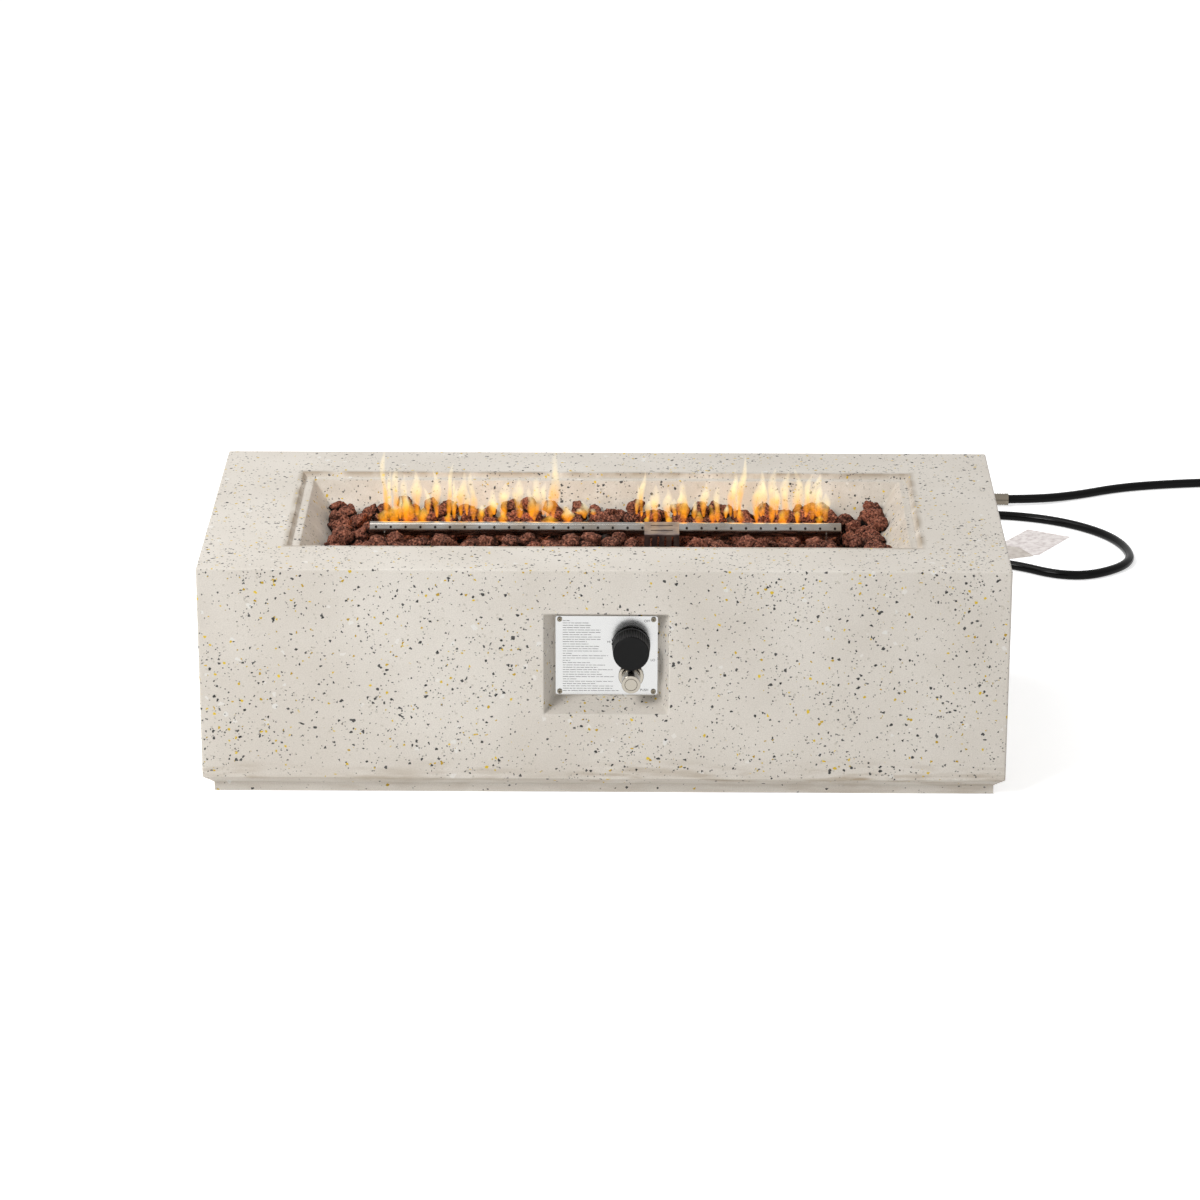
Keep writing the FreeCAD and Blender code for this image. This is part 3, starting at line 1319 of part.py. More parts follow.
def main():
    os.makedirs("parts", exist_ok=True)
    save("concrete_body", concrete_body())
    save("foot_pads", *foot_pads())
    save("burner_tube", burner_tube())
    save("burner_end_caps", *burner_end_caps())
    save("burner_inlet_pipe", burner_inlet_pipe())
    save("burner_support_left", burner_support(-1))
    save("burner_support_right", burner_support(1))
    seat = BOWL_Z + SHEET
    save("burner_support_screws", *[screw(V(x, y, seat), -UP, 30) for x, y in support_screw_places()])
    save("floor_locknuts", *floor_locknuts())
    save("air_mixer", air_mixer())
    save("gas_orifice", gas_orifice())
    save("gas_tube", tube("gas tube", GAS_TUBE_POINTS, GAS_TUBE_RADIUS))
    save("gas_tube_nuts", *gas_tube_nuts())
    save("pilot_bracket", pilot_bracket())
    save("igniter_guard", igniter_guard())
    seat = BRACKET_Z + GUARD_SHEET
    save("guard_screws", *[screw(V(x, y, seat), -UP, 15) for x, y in guard_screw_places()])
    save("electrode_insulator", electrode_insulator())
    save("spark_electrode", tube("spark pin", SPARK_PIN_POINTS, PIN_RADIUS))
    save("igniter_wire", tube("igniter wire", IGNITER_WIRE_POINTS, LEAD_RADIUS))
    save("thermocouple", thermocouple())
    save("thermocouple_lead", tube("thermocouple lead", THERMOCOUPLE_POINTS, LEAD_RADIUS))
    save("control_plate", control_plate())
    turns = (12, 40, 65, 25)
    heads = [V(x, PLATE_Y, z) for x, z in plate_corners()]
    save("plate_screws", *[screw(p, V(0, 1, 0), t) for p, t in zip(heads, turns)])
    save("valve_body", valve_body())
    save("valve_screws", *valve_screws())
    save("valve_plug", valve_plug())
    save("valve_stem", valve_stem())
    spring_end = on_knob_axis(PLUG_BACK_Y + 0.3)
    spring_start = on_knob_axis(COLLAR_Y + COLLAR)
    save("stem_spring", coil_spring("stem spring", spring_start, spring_end, 5.6, 0.8, 5))
    save("safety_magnet", safety_magnet())
    save("knob", knob())
    save("igniter_barrel", igniter_barrel())
    save("igniter_nut", igniter_nut())
    save("igniter_battery", igniter_battery())
    save("igniter_module", igniter_module())
    save("igniter_button", igniter_button())
    spring_start = on_button_axis(BUTTON_FACE_Y + BUTTON_FACE)
    battery_front = on_button_axis(BATTERY_END_Y - BATTERY_LENGTH)
    save("button_spring", coil_spring("button spring", spring_start, battery_front, 5.0, 1.0, 5))
    save("hose_grommet", hose_grommet())
    inlet = INNER_POINTS[0]
    save("inner_hose", tube("inner hose", INNER_POINTS, HOSE_RADIUS))
    save("inner_ferrule", crimped(inlet, inlet + V(FERRULE_LENGTH, 0, 0)))
    save("lead_hose", tube("lead hose", LEAD_POINTS, HOSE_RADIUS))
    save("lead_ferrule", crimped(COUPLING - V(FERRULE_LENGTH, 0, 0), COUPLING))
    save("hose_union", hose_union())
    save("swivel_nut", swivel_nut())
    save("supply_ferrule", supply_ferrule())
    save("supply_hose", tube("supply hose", SUPPLY_POINTS, HOSE_RADIUS))
    save("supply_coil", supply_coil())
    turn = 2 * math.pi * COIL_RADIUS
    print(f"supply coil: {COIL_TURNS} turns, about {COIL_TURNS * turn:.0f} mm of hose")
    save("supply_tail", tube("supply tail", TAIL_POINTS, HOSE_RADIUS))
    end = TAIL_POINTS[-1]
    save("regulator_ferrule", crimped(end + V(0, 20, 0), end))
    save("regulator_body", regulator_body())
    save("regulator_cap", regulator_cap())
    save("inlet_nipple", inlet_nipple())
    save("coupling_nut", coupling_nut())
    save("hose_tag", hose_tag())
    save("lava_rocks", *lava_rocks())


main()
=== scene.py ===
# %% [markdown]
# A gas fire pit table: a box cast in one piece from terrazzo concrete, with a bowl of lava
# rock, a steel burner tube, a control panel let into the front and a hose on the ground.
# The frame holds every rigid piece in its place, in metres. This script gives each of them
# its finish, and adds what a mesh or a curve does better than a solid: the stones, the
# ribs of the knob, the print on the plate and the smooth hoses.

# %% Load the frame
import math
import random

import bmesh
import bpy
from mathutils import Matrix, Vector, noise


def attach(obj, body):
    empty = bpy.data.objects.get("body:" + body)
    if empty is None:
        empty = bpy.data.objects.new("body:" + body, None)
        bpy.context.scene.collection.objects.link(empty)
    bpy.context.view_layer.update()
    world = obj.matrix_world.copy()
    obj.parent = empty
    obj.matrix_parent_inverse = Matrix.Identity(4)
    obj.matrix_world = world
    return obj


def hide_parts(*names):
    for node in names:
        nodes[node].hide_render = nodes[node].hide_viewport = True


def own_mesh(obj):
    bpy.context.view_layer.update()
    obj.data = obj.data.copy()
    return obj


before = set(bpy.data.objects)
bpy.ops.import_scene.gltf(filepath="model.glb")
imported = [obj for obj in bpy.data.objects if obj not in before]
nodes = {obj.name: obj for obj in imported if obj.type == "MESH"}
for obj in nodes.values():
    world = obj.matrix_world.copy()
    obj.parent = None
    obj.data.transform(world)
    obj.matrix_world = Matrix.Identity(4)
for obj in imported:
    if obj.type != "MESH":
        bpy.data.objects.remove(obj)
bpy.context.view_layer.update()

MM = 0.001


def put(name, data):
    """Makes an object of a mesh, a curve, a camera or a lamp, and puts it in the scene."""
    made = bpy.data.objects.new(name, data)
    bpy.context.scene.collection.objects.link(made)
    return made


print("pieces in the frame:", len(nodes))

# %% [markdown]
# The camera stands low in front of the table and looks down at twenty degrees with a long
# lens, as in a product photograph. Its place and turn were fitted to the corners of the
# body. It could also be aimed at a point, but three angles say plainly how it is held.

# %% Camera
CAMERA_AT = Vector((0.04389, -5.574, 2.2495))
YAW = math.radians(-0.5256)
PITCH = math.radians(20.294)
ROLL = math.radians(0.0694)
LENS = 130.33
SENSOR = 36.0

ahead = Vector((math.sin(YAW) * math.cos(PITCH), math.cos(YAW) * math.cos(PITCH), -math.sin(PITCH)))
right = Vector((math.cos(YAW), -math.sin(YAW), 0))
up = right.cross(ahead)
rolled_right = right * math.cos(ROLL) + up * math.sin(ROLL)
rolled_up = up * math.cos(ROLL) - right * math.sin(ROLL)
turned = Matrix((rolled_right, rolled_up, -ahead))
camera_data = bpy.data.cameras.new("camera")
camera_data.lens = LENS
camera_data.sensor_width = SENSOR
camera = put("camera", camera_data)
camera.matrix_world = Matrix.Translation(CAMERA_AT) @ turned.transposed().to_4x4()
bpy.context.scene.camera = camera
print("camera with a", LENS, "mm lens at", tuple(CAMERA_AT))

# %% [markdown]
# Shaders are made of nodes. One helper adds a node, sets its settings, and fills its
# sockets with values or links. Colours are written as they look on a screen, and one
# function makes them linear. Another turns a size in millimetres into a texture scale.
# Most real surfaces are uneven in patches, which a noise makes, so that has helpers too.

# %% Helpers for shaders
def colour(code):
    """The linear colour of an sRGB hex code."""
    values = [int(code[i : i + 2], 16) / 255 for i in (0, 2, 4)]
    return tuple(v / 12.92 if v <= 0.04045 else ((v + 0.055) / 1.055) ** 2.4 for v in values) + (1,)


def every(size):
    """The scale of a texture whose pattern comes every so many millimetres."""
    return 1 / (size * MM)


def add(tree, kind, sockets=None, to=None, **settings):
    """Adds a node. A socket takes a plain value, a node's first output, or one output.
    The new node's own first output can go straight to a socket."""
    made = tree.nodes.new("ShaderNode" + kind)
    for name, value in settings.items():
        setattr(made, name, value)
    for name, value in (sockets or {}).items():
        if isinstance(value, bpy.types.Node):
            value = value.outputs[0]
        if isinstance(value, bpy.types.NodeSocket):
            tree.links.new(value, made.inputs[name])
        else:
            made.inputs[name].default_value = value
    if to:
        tree.links.new(made.outputs[0], to)
    return made


def patches(tree, at, size, detail, low, high, ends=None):
    """Noise in patches of so many mm, spread from 0 at the low to 1 at the high level."""
    marks = add(tree, "TexNoise", {"Vector": at, "Scale": every(size), "Detail": detail})
    span = {"Value": marks, "From Min": low, "From Max": high}
    return add(tree, "MapRange", {**span, **(ends or {})})


def blotch(tree, at, ground, shade, size, detail, low, high, depth=1.0):
    """Lays patches of a shade over the ground."""
    mask = patches(tree, at, size, detail, low, high, {"To Max": depth})
    mixed = {0: mask, 6: ground, 7: colour(shade)}
    return add(tree, "Mix", mixed, data_type="RGBA").outputs[2]


def new_material(name, base, roughness, metallic=0.0, specular=0.5):
    """Gives back a material, its tree, its shader, and the place on the object, which
    every pattern is laid out by."""
    material = bpy.data.materials.new(name)
    material.use_nodes = True
    surface = material.node_tree.nodes["Principled BSDF"]
    surface.inputs["Base Color"].default_value = colour(base)
    surface.inputs["Roughness"].default_value = roughness
    surface.inputs["Metallic"].default_value = metallic
    surface.inputs["Specular IOR Level"].default_value = specular
    at = add(material.node_tree, "TexCoord").outputs["Object"]
    return material, material.node_tree, surface, at


def skin(tree, surface, at, size, low, high, ends, height=0.0, strength=0.5):
    """Lets a noise so many mm wide vary the roughness between its ends, and stand up to a
    height in mm off the surface."""
    marks = add(tree, "TexNoise", {"Vector": at, "Scale": every(size), "Detail": 3.0})
    smooth, rough = ends
    span = {"Value": marks, "From Min": low, "From Max": high, "To Min": smooth, "To Max": rough}
    add(tree, "MapRange", span, to=surface.inputs["Roughness"])
    if height:
        bump = {"Height": marks, "Distance": height * MM, "Strength": strength}
        add(tree, "Bump", bump, to=surface.inputs["Normal"])


def paint(material, shade):
    """Gives a material that is already made another colour, which nodes have mixed."""
    tree = material.node_tree
    tree.links.new(shade, tree.nodes["Principled BSDF"].inputs["Base Color"])


print("one millimetre pattern has scale", every(1))

# %% [markdown]
# The box is terrazzo concrete: pale cement with chips of dark stone, ochre glass and
# white marble, cast in a mould and ground flat, so that the chips show as cut sections.
# Painted chips would end at an edge. Chips in space, cut by the surface, carry on round
# each corner as in the real cast. A 3-D Voronoi pattern parts space into crumbs with flat
# sides, like crushed stone. Each kind of chip has its own crumb size, and only a few crumbs
# in a thousand, chosen by the random colour of their cell, are painted as that stone.

# %% Terrazzo chips
CHIPS = {
    # kind: size in mm, how many in a thousand, two colours, cover
    "sand": (2.4, 16, "B4AC9E", "A29B8F", 0.55),
    "marble": (6.0, 5.0, "E9E6E1", "E3E6E6", 0.4),
    "grit": (1.5, 13.0, "3A3937", "76736B", 0.9),
    "fine basalt": (2.1, 11.0, "242322", "5A5855", 0.95),
    "fine ochre": (2.0, 2.6, "977B00", "CDB32A", 0.9),
    "ochre": (3.1, 7.0, "A88700", "DBBC22", 0.97),
    "basalt": (3.2, 11.0, "1C1B1B", "444342", 0.97),
}


def lay_chips(tree, ground, at, crowd, number, kind):
    """Mixes one kind of chip into the colour of the ground."""
    size, in_thousand, dark, light, cover = CHIPS[kind]
    offset = (0.37 * number, 0.11 * number, 0.23 * number)
    moved = add(tree, "VectorMath", {0: at, 1: offset}, operation="ADD")
    crumbs = add(tree, "TexVoronoi", {"Vector": moved, "Scale": every(size)})
    lots = add(tree, "SeparateColor", {"Color": crumbs.outputs["Color"]})
    limit = add(tree, "Math", {0: crowd, 1: in_thousand / 1000}, operation="MULTIPLY")
    chosen = add(tree, "Math", {0: lots.outputs[0], 1: limit}, operation="LESS_THAN")
    mask = add(tree, "Math", {0: chosen, 1: cover}, operation="MULTIPLY")
    shades = {0: lots.outputs[2], 6: colour(dark), 7: colour(light)}
    chip = add(tree, "Mix", shades, data_type="RGBA").outputs[2]
    return add(tree, "Mix", {0: mask, 6: ground, 7: chip}, data_type="RGBA").outputs[2]


print("kinds of chip:", ", ".join(CHIPS))

# %% [markdown]
# Three places of the box are darkened: the foot, where wet ground draws dirt up in level
# streaks, the step round the bowl, along which runs a line of painted shade, and the walls
# of the bowl, which are a little darker and browner. Each is a mask made from the place on
# the object, so it needs no unwrapped surface. The foot's stain is patchy, and weaker on
# the set-back plinth below it, so that the plinth, which lies in shade, stays lighter:
# painted light.

# %% Stains of the concrete
STEP_HALF = Vector((421.0, 152.5, 0)) * MM
FOOT_STAIN = 62 * MM
PLINTH_HEIGHT = 18 * MM


def foot_stain(tree, at, height):
    """How strongly the foot is stained."""
    streaked = add(tree, "VectorMath", {0: at, 1: (0.16, 0.16, 1.0)}, operation="MULTIPLY")
    shown = patches(tree, streaked, 9, 5.0, 0.42, 0.66)
    low = {"Value": height, "From Min": FOOT_STAIN, "From Max": PLINTH_HEIGHT}
    near = add(tree, "MapRange", low, interpolation_type="SMOOTHSTEP")
    # Painted light: the stain is weaker on the plinth, so that the plinth, which lies in shade,
    # stays lighter.
    edge = {"From Min": PLINTH_HEIGHT - 1 * MM, "From Max": PLINTH_HEIGHT + 4 * MM}
    plinth_lightened = add(tree, "MapRange", {"Value": height, "To Min": 0.4, **edge})
    uneven = patches(tree, at, 130, 2.0, 0.38, 0.6, {"To Min": 0.3, "To Max": 1.2})
    for part in (near, plinth_lightened, uneven):
        shown = add(tree, "Math", {0: shown, 1: part}, operation="MULTIPLY")
    return shown


def step_shade_and_bowl_darkening(tree, at):
    """How strongly painted shade lies along the step, and how much darker the walls of the bowl
    are.
    """
    folded = add(tree, "VectorMath", {0: at}, operation="ABSOLUTE")
    beyond = add(tree, "VectorMath", {0: folded, 1: STEP_HALF}, operation="SUBTRACT")
    parts = add(tree, "SeparateXYZ", {0: beyond})
    most = add(tree, "Math", {0: parts.outputs[0], 1: parts.outputs[1]}, operation="MAXIMUM")
    away = add(tree, "Math", {0: most}, operation="ABSOLUTE")
    # Painted shade: a dark line along the step round the bowl.
    edge = add(tree, "MapRange", {"Value": away, "From Min": 8 * MM, "From Max": 0.0})
    wall = {"Value": most, "From Min": -5 * MM, "From Max": -15 * MM, "To Max": 0.32}
    either = {0: edge, 1: add(tree, "MapRange", wall)}
    where = add(tree, "Math", either, operation="MAXIMUM")
    spots = patches(tree, at, 30, 5.0, 0.3, 0.58)
    return add(tree, "Math", {0: where, 1: spots}, operation="MULTIPLY")


print("the foot is stained up to", round(FOOT_STAIN / MM), "mm")

# %% [markdown]
# Between the chips the cement is clouded and grainy. Cement milk gathered at the foot in
# the mould and covers most of the chips there. The edges of crushed stone aren't quite
# straight, so a fine noise bends the crumbs before they are painted.

# %% Terrazzo concrete
FOOT_MILK = 26 * MM
MILK_END = 35 * MM


def make_terrazzo():
    # Cast concrete, ground with fine grit and not polished: dull and even, so what the eye
    # gets is the chips. Only at a low angle does the ground skin show a pale sheen.
    material, tree, surface, at = new_material("terrazzo_concrete", "D2CBC1", 0.6, specular=0.35)
    ground = blotch(tree, at, colour("D0C9BF"), "DAD4CB", 150, 5.0, 0.35, 0.65)
    ground = blotch(tree, at, ground, "9E968B", 1.6, 2.0, 0.35, 0.7, 0.26)
    height = add(tree, "SeparateXYZ", {0: at}).outputs[2]
    # Dirt at the foot, and painted shade along the step round the bowl, with darker walls below it.
    for stain_or_shade, shade, depth in (
        (foot_stain(tree, at, height), "968267", 0.72),
        (step_shade_and_bowl_darkening(tree, at), "8E7E68", 0.8),
    ):
        mask = add(tree, "Math", {0: stain_or_shade, 1: depth}, operation="MULTIPLY")
        stained_or_shaded = {0: mask, 6: ground, 7: colour(shade)}
        ground = add(tree, "Mix", stained_or_shaded, data_type="RGBA").outputs[2]
    shake = add(tree, "TexNoise", {"Vector": at, "Scale": every(1.8), "Detail": 1.0})
    middle = {0: shake.outputs["Color"], 1: (0.5, 0.5, 0.5)}
    shift = add(tree, "VectorMath", middle, operation="SUBTRACT")
    small = add(tree, "VectorMath", {0: shift, "Scale": 1.2 * MM}, operation="SCALE")
    bent = add(tree, "VectorMath", {0: at, 1: small}, operation="ADD")
    crowding = patches(tree, at, 70, 2.0, 0.35, 0.65, {"To Min": 0.55, "To Max": 1.5})
    milk = {"Value": height, "From Min": FOOT_MILK, "From Max": MILK_END, "To Min": 0.22}
    bare = {0: crowding, 1: add(tree, "MapRange", milk)}
    crowd = add(tree, "Math", bare, operation="MULTIPLY")
    for number, kind in enumerate(CHIPS):
        ground = lay_chips(tree, ground, bent, crowd, number + 1, kind)
    tree.links.new(ground, surface.inputs["Base Color"])
    skin = add(tree, "TexNoise", {"Vector": at, "Scale": every(3), "Detail": 4.0})
    bump = {"Height": skin, "Distance": 0.12 * MM, "Strength": 0.6}
    add(tree, "Bump", bump, to=surface.inputs["Normal"])
    return material


terrazzo = make_terrazzo()
print("terrazzo nodes:", len(terrazzo.node_tree.nodes))

# %% [markdown]
# Lava rock is frozen froth: red-brown from its iron, dull, and full of small holes where
# gas was. Each stone has its own tone, which the shader takes from a number that every
# loose island of a mesh has. The holes are a fine Voronoi pattern that is sunk and painted
# dark, as the shade inside them, and the crust between them is noise. The gaps between the
# stones see little of the sky, so an ambient occlusion node darkens them: painted shade.

# %% Lava rock
def make_lava():
    # Basalt froth, only crushed and sieved: no shine at all, rough down to the pores.
    material, tree, surface, at = new_material("lava_rock", "6B4A40", 0.93, specular=0.2)
    island = add(tree, "NewGeometry").outputs["Random Per Island"]
    shades = {0: island, 6: colour("2E1914"), 7: colour("703D2F")}
    ground = add(tree, "Mix", shades, data_type="RGBA").outputs[2]
    coats = (
        # size of the pattern in mm, where it starts and ends, how strong, its colour
        (14.0, 0.36, 0.64, 0.45, "7C4C3C"),
        (2.8, 0.45, 0.68, 0.75, "BE7F66"),
        (5.0, 0.55, 0.75, 0.5, "38201A"),
    )
    for size, low, high, depth, shade in coats:
        ground = blotch(tree, at, ground, shade, size, 4.0, low, high, depth)
    # The dark in the pores is painted shade, the shade inside each hole; the bump also sinks them.
    pores = add(tree, "TexVoronoi", {"Vector": at, "Scale": every(3.8)})
    wall = {"Value": pores.outputs["Distance"], "From Min": 0.16, "From Max": 0.44}
    crust = add(tree, "MapRange", wall)
    bright = {0: crust, 6: colour("24140F"), 7: ground}
    pore_shaded = add(tree, "Mix", bright, data_type="RGBA").outputs[2]
    softened = {0: 0.9, 6: ground, 7: pore_shaded}
    ground = add(tree, "Mix", softened, data_type="RGBA").outputs[2]
    # Painted shade: where an ambient occlusion node finds little open sky, in the gaps between the
    # stones, the colour goes dark.
    open_air = add(tree, "AmbientOcclusion", {"Distance": 10 * MM}, samples=6).outputs["AO"]
    gap_shade_mask = add(tree, "MapRange", {"Value": open_air, "From Min": 0.34, "From Max": 0.84})
    painted_gap_shade = {0: gap_shade_mask, 6: colour("100806"), 7: ground}
    ground = add(tree, "Mix", painted_gap_shade, data_type="RGBA").outputs[2]
    tree.links.new(ground, surface.inputs["Base Color"])
    froth = add(tree, "TexNoise", {"Vector": at, "Scale": every(5), "Detail": 5.0})
    height = add(tree, "Math", {0: crust, 1: froth}, operation="ADD")
    bump = {"Height": height, "Distance": 1.8 * MM, "Strength": 0.8}
    add(tree, "Bump", bump, to=surface.inputs["Normal"])
    return material


lava = make_lava()
print("lava rock nodes:", len(lava.node_tree.nodes))

# %% [markdown]
# Sheet and tube metals come from the mill with fine lines along one direction. The lines
# are noise that is pulled out along that direction, and they change the roughness more
# than the colour, which is what makes a brushed face flash as one moves. Turned, plated
# and drawn parts have no such lines, only faint uneven shine.

# %% Brushed and turned metals
def brushed_metal(name, base, roughness, lines, spread=0.12):
    """lines: how much the pattern is squeezed along X, Y and Z; small is a long streak."""
    material, tree, surface, at = new_material(name, base, roughness, metallic=1.0)
    pulled = add(tree, "VectorMath", {0: at, 1: lines}, operation="MULTIPLY")
    ends = (roughness - spread, roughness + spread)
    skin(tree, surface, pulled, 0.9, 0.25, 0.75, ends, 0.02, 0.4)
    return material


def turned_metal(name, base, roughness):
    """A metal with a slightly uneven shine and no lines."""
    material, tree, surface, at = new_material(name, base, roughness, metallic=1.0)
    skin(tree, surface, at, 6, 0.3, 0.7, (roughness - 0.05, roughness + 0.08))
    return material


def slot_shaded_metal(name, base, roughness, slot_dirt_and_shade_colour, depth):
    """A turned metal darkened in its slots and grooves, less than depth mm wide, where an ambient
    occlusion node finds little open sky: painted shade, with dirt in a screw's slots.
    """
    material = turned_metal(name, base, roughness)
    tree = material.node_tree
    # Painted shade: the ambient occlusion darkens each narrow recess.
    reach = {"Distance": depth * MM}
    open_air = add(tree, "AmbientOcclusion", reach, samples=6).outputs["AO"]
    clear = add(tree, "MapRange", {"Value": open_air, "From Min": 0.5, "From Max": 0.95})
    dirt_and_shade = {0: clear, 6: colour(slot_dirt_and_shade_colour), 7: colour(base)}
    paint(material, add(tree, "Mix", dirt_and_shade, data_type="RGBA").outputs[2])
    return material


# Stainless sheet, brushed along its length: long soft streaks of light.
bracket_steel = brushed_metal("brushed_stainless", "BDB9B2", 0.26, (0.04, 1, 1))
# Aluminium sheet, finely brushed and clear anodised: nearly white, with an even satin gleam.
satin_plate = brushed_metal("satin_anodised_plate", "BDBDBC", 0.2, (0.06, 1, 1), 0.04)
# Steel, pressed or turned, then zinc plated: pale grey with a cool soft shine.
zinc_steel = turned_metal("zinc_plated_steel", "A9A7A1", 0.36)
# Brass bar, turned on a lathe: warm yellow, with a clear highlight along each cylinder.
turned_brass = turned_metal("turned_brass", "A38A58", 0.32)
# Copper tube, drawn through a die: orange-brown and smooth, with long highlights.
drawn_copper = turned_metal("drawn_copper", "A8683F", 0.32)
# Nickel-plated screw that has stood outdoors: warm grey, with dirt and painted shade in its cross
# slots.
nickel_screw = slot_shaded_metal("aged_nickel_screw", "857D6E", 0.3, "100E0B", 2.4)
# Bright nickel on turned brass: a mirror that makes what it shows a little warmer, with
# painted shade in its grooves and gaps.
nickel_plate = slot_shaded_metal("bright_nickel_plate", "A29C91", 0.12, "3C352C", 2.0)
# Zinc-plated sleeve, pressed onto the hose: dull grey-brown rings.
crimped_ferrule = turned_metal("dulled_zinc_ferrule", "7C7468", 0.34)
# Spring steel, drawn to wire: one thin bright line along each turn.
drawn_wire = turned_metal("drawn_steel_wire", "9A9A98", 0.3)
print("metals ready")

# %% [markdown]
# The burner and its guard have been hot. Stainless steel that has been hot goes straw
# and brown with a hint of blue. Round each gas port a dark ring is painted: soot, and
# painted shade that makes the small hole read as a dark dot. The tube's ports come at an
# even pitch, so a wave along its length finds them, and a band of height keeps the dark
# rings to their row.

# %% Hot stainless steel
BURNER_LENGTH = 640.0
PORT_FROM_END = 8.45
PORT_COUNT = 32
PORT_PITCH = (BURNER_LENGTH - 2 * PORT_FROM_END) / (PORT_COUNT - 1) * MM
PORT_ROW_Z = 295.7 * MM


def make_burner_steel():
    # Welded stainless tube, brushed lengthwise: one bright line along its top, dulled by heat.
    material = brushed_metal("burner_stainless", "8E8B87", 0.2, (0.04, 1, 1))
    tree = material.node_tree
    at = add(tree, "TexCoord").outputs["Object"]
    ground = blotch(tree, at, colour("979592"), "83786C", 60, 3.0, 0.4, 0.68)
    parts = add(tree, "SeparateXYZ", {0: at})
    across = parts.outputs[0]
    sums = (("DIVIDE", PORT_PITCH), ("FRACT", 0), ("SUBTRACT", 0.5), ("MULTIPLY", PORT_PITCH))
    for operation, number in sums:
        across = add(tree, "Math", {0: across, 1: number}, operation=operation)
    raised = add(tree, "Math", {0: parts.outputs[2], 1: PORT_ROW_Z}, operation="SUBTRACT")
    flat = add(tree, "CombineXYZ", {0: across, 1: raised})
    away = add(tree, "VectorMath", {0: flat}, operation="LENGTH").outputs["Value"]
    # A dark ring round each port: soot, and painted shade that makes the small hole read as a dark
    # dot.
    port_dark_span = {"Value": away, "From Min": 2.2 * MM, "From Max": 1.1 * MM, "To Max": 0.9}
    mask = add(tree, "MapRange", port_dark_span, interpolation_type="SMOOTHSTEP")
    soot_and_port_shade = {0: mask, 6: ground, 7: colour("1E1A17")}
    paint(material, add(tree, "Mix", soot_and_port_shade, data_type="RGBA").outputs[2])
    return material


def make_guard_steel():
    # Folded stainless sheet right in the flames: brown to violet, with hardly any mirror left.
    material = brushed_metal("heat_tinted_stainless", "6F635D", 0.42, (0.06, 1, 1))
    tree = material.node_tree
    at = add(tree, "TexCoord").outputs["Object"]
    tinted = blotch(tree, at, colour("7C6E67"), "52474B", 18, 3.0, 0.4, 0.68)
    paint(material, tinted)
    return material


burner_steel = make_burner_steel()
guard_steel = make_guard_steel()
print("ports every", round(PORT_PITCH / MM, 1), "mm")

# %% [markdown]
# The rest is rubber, moulded plastic, glazed ceramic, paint and paper. None of them is
# metal, so their colour is their own and their shine is pale. Each has a soft unevenness
# at the scale of its making: the flow of a moulding, the skin of an extruded hose, the
# fibres of paper.

# %% Rubber, plastic, ceramic, paint and paper
def moulded(name, base, roughness, grain=4.0, depth=0.03, specular=0.5):
    """grain is the size of the surface's unevenness and depth its height, in mm."""
    material, tree, surface, at = new_material(name, base, roughness, specular=specular)
    ends = (roughness - 0.05, roughness + 0.05)
    skin(tree, surface, at, grain, 0.3, 0.7, ends, depth)
    return material


def blotched_paper(name, base, damp):
    """Uncoated paper that damp has stained in patches a few millimetres wide."""
    material = moulded(name, base, 0.85, 14.0, 0.6)
    tree = material.node_tree
    at = add(tree, "TexCoord").outputs["Object"]
    paint(material, blotch(tree, at, colour(base), damp, 9, 5.0, 0.42, 0.66))
    return material


# Nitrile rubber, extruded: near black, with one long soft highlight that wavers a little.
hose_rubber = moulded("extruded_hose_rubber", "070707", 0.18, 9.0, 0.03, 0.1)
# Natural rubber, moulded: dark grey and quite dull.
foot_rubber = moulded("moulded_foot_rubber", "262626", 0.8)
# Phenolic resin, pressed in a steel mould: black satin, grey where the ribs catch light.
knob_plastic = moulded("phenolic_knob", "0A0A0A", 0.42, 1.2, 0.04, 0.14)
# ABS, injection moulded: black, with a soft even shine.
black_plastic = moulded("moulded_black_plastic", "1A1A1B", 0.45)
# Silicone, extruded as a sleeve: brick red and slightly waxy.
wire_silicone = moulded("red_wire_silicone", "8A2A20", 0.5)
# Alumina, fired and glazed: warm white with small clear highlights.
glazed_ceramic = moulded("glazed_ceramic", "EDE9DF", 0.3)
# Steel can in a shrunk plastic film: slate grey and smooth.
battery_jacket = moulded("printed_battery_jacket", "3A3F45", 0.35)
# Zinc casting, sprayed with enamel and baked: mid grey, smooth, a soft highlight.
grey_enamel = moulded("grey_enamel", "8F9293", 0.4)
# Uncoated paper: warm white without any shine, and a little wavy from damp.
tag_paper = blotched_paper("uncoated_paper", "FAF3F0", "D9CFCC")
# The back of the same paper, which lies in its own shade.
tag_shade = blotched_paper("paper_underside_in_shade", "D9D1C9", "C2B8AF")
# Grey ink, screen printed: flat, without shine.
print_grey = moulded("grey_print", "6C6C6F", 0.6)
# Black ink, screen printed.
print_black = moulded("black_print", "202020", 0.6)
print("moulded finishes ready")

# %% [markdown]
# Each piece of the frame now gets its material. The table of names is also a parts list:
# it says what every piece of the real object is made of.

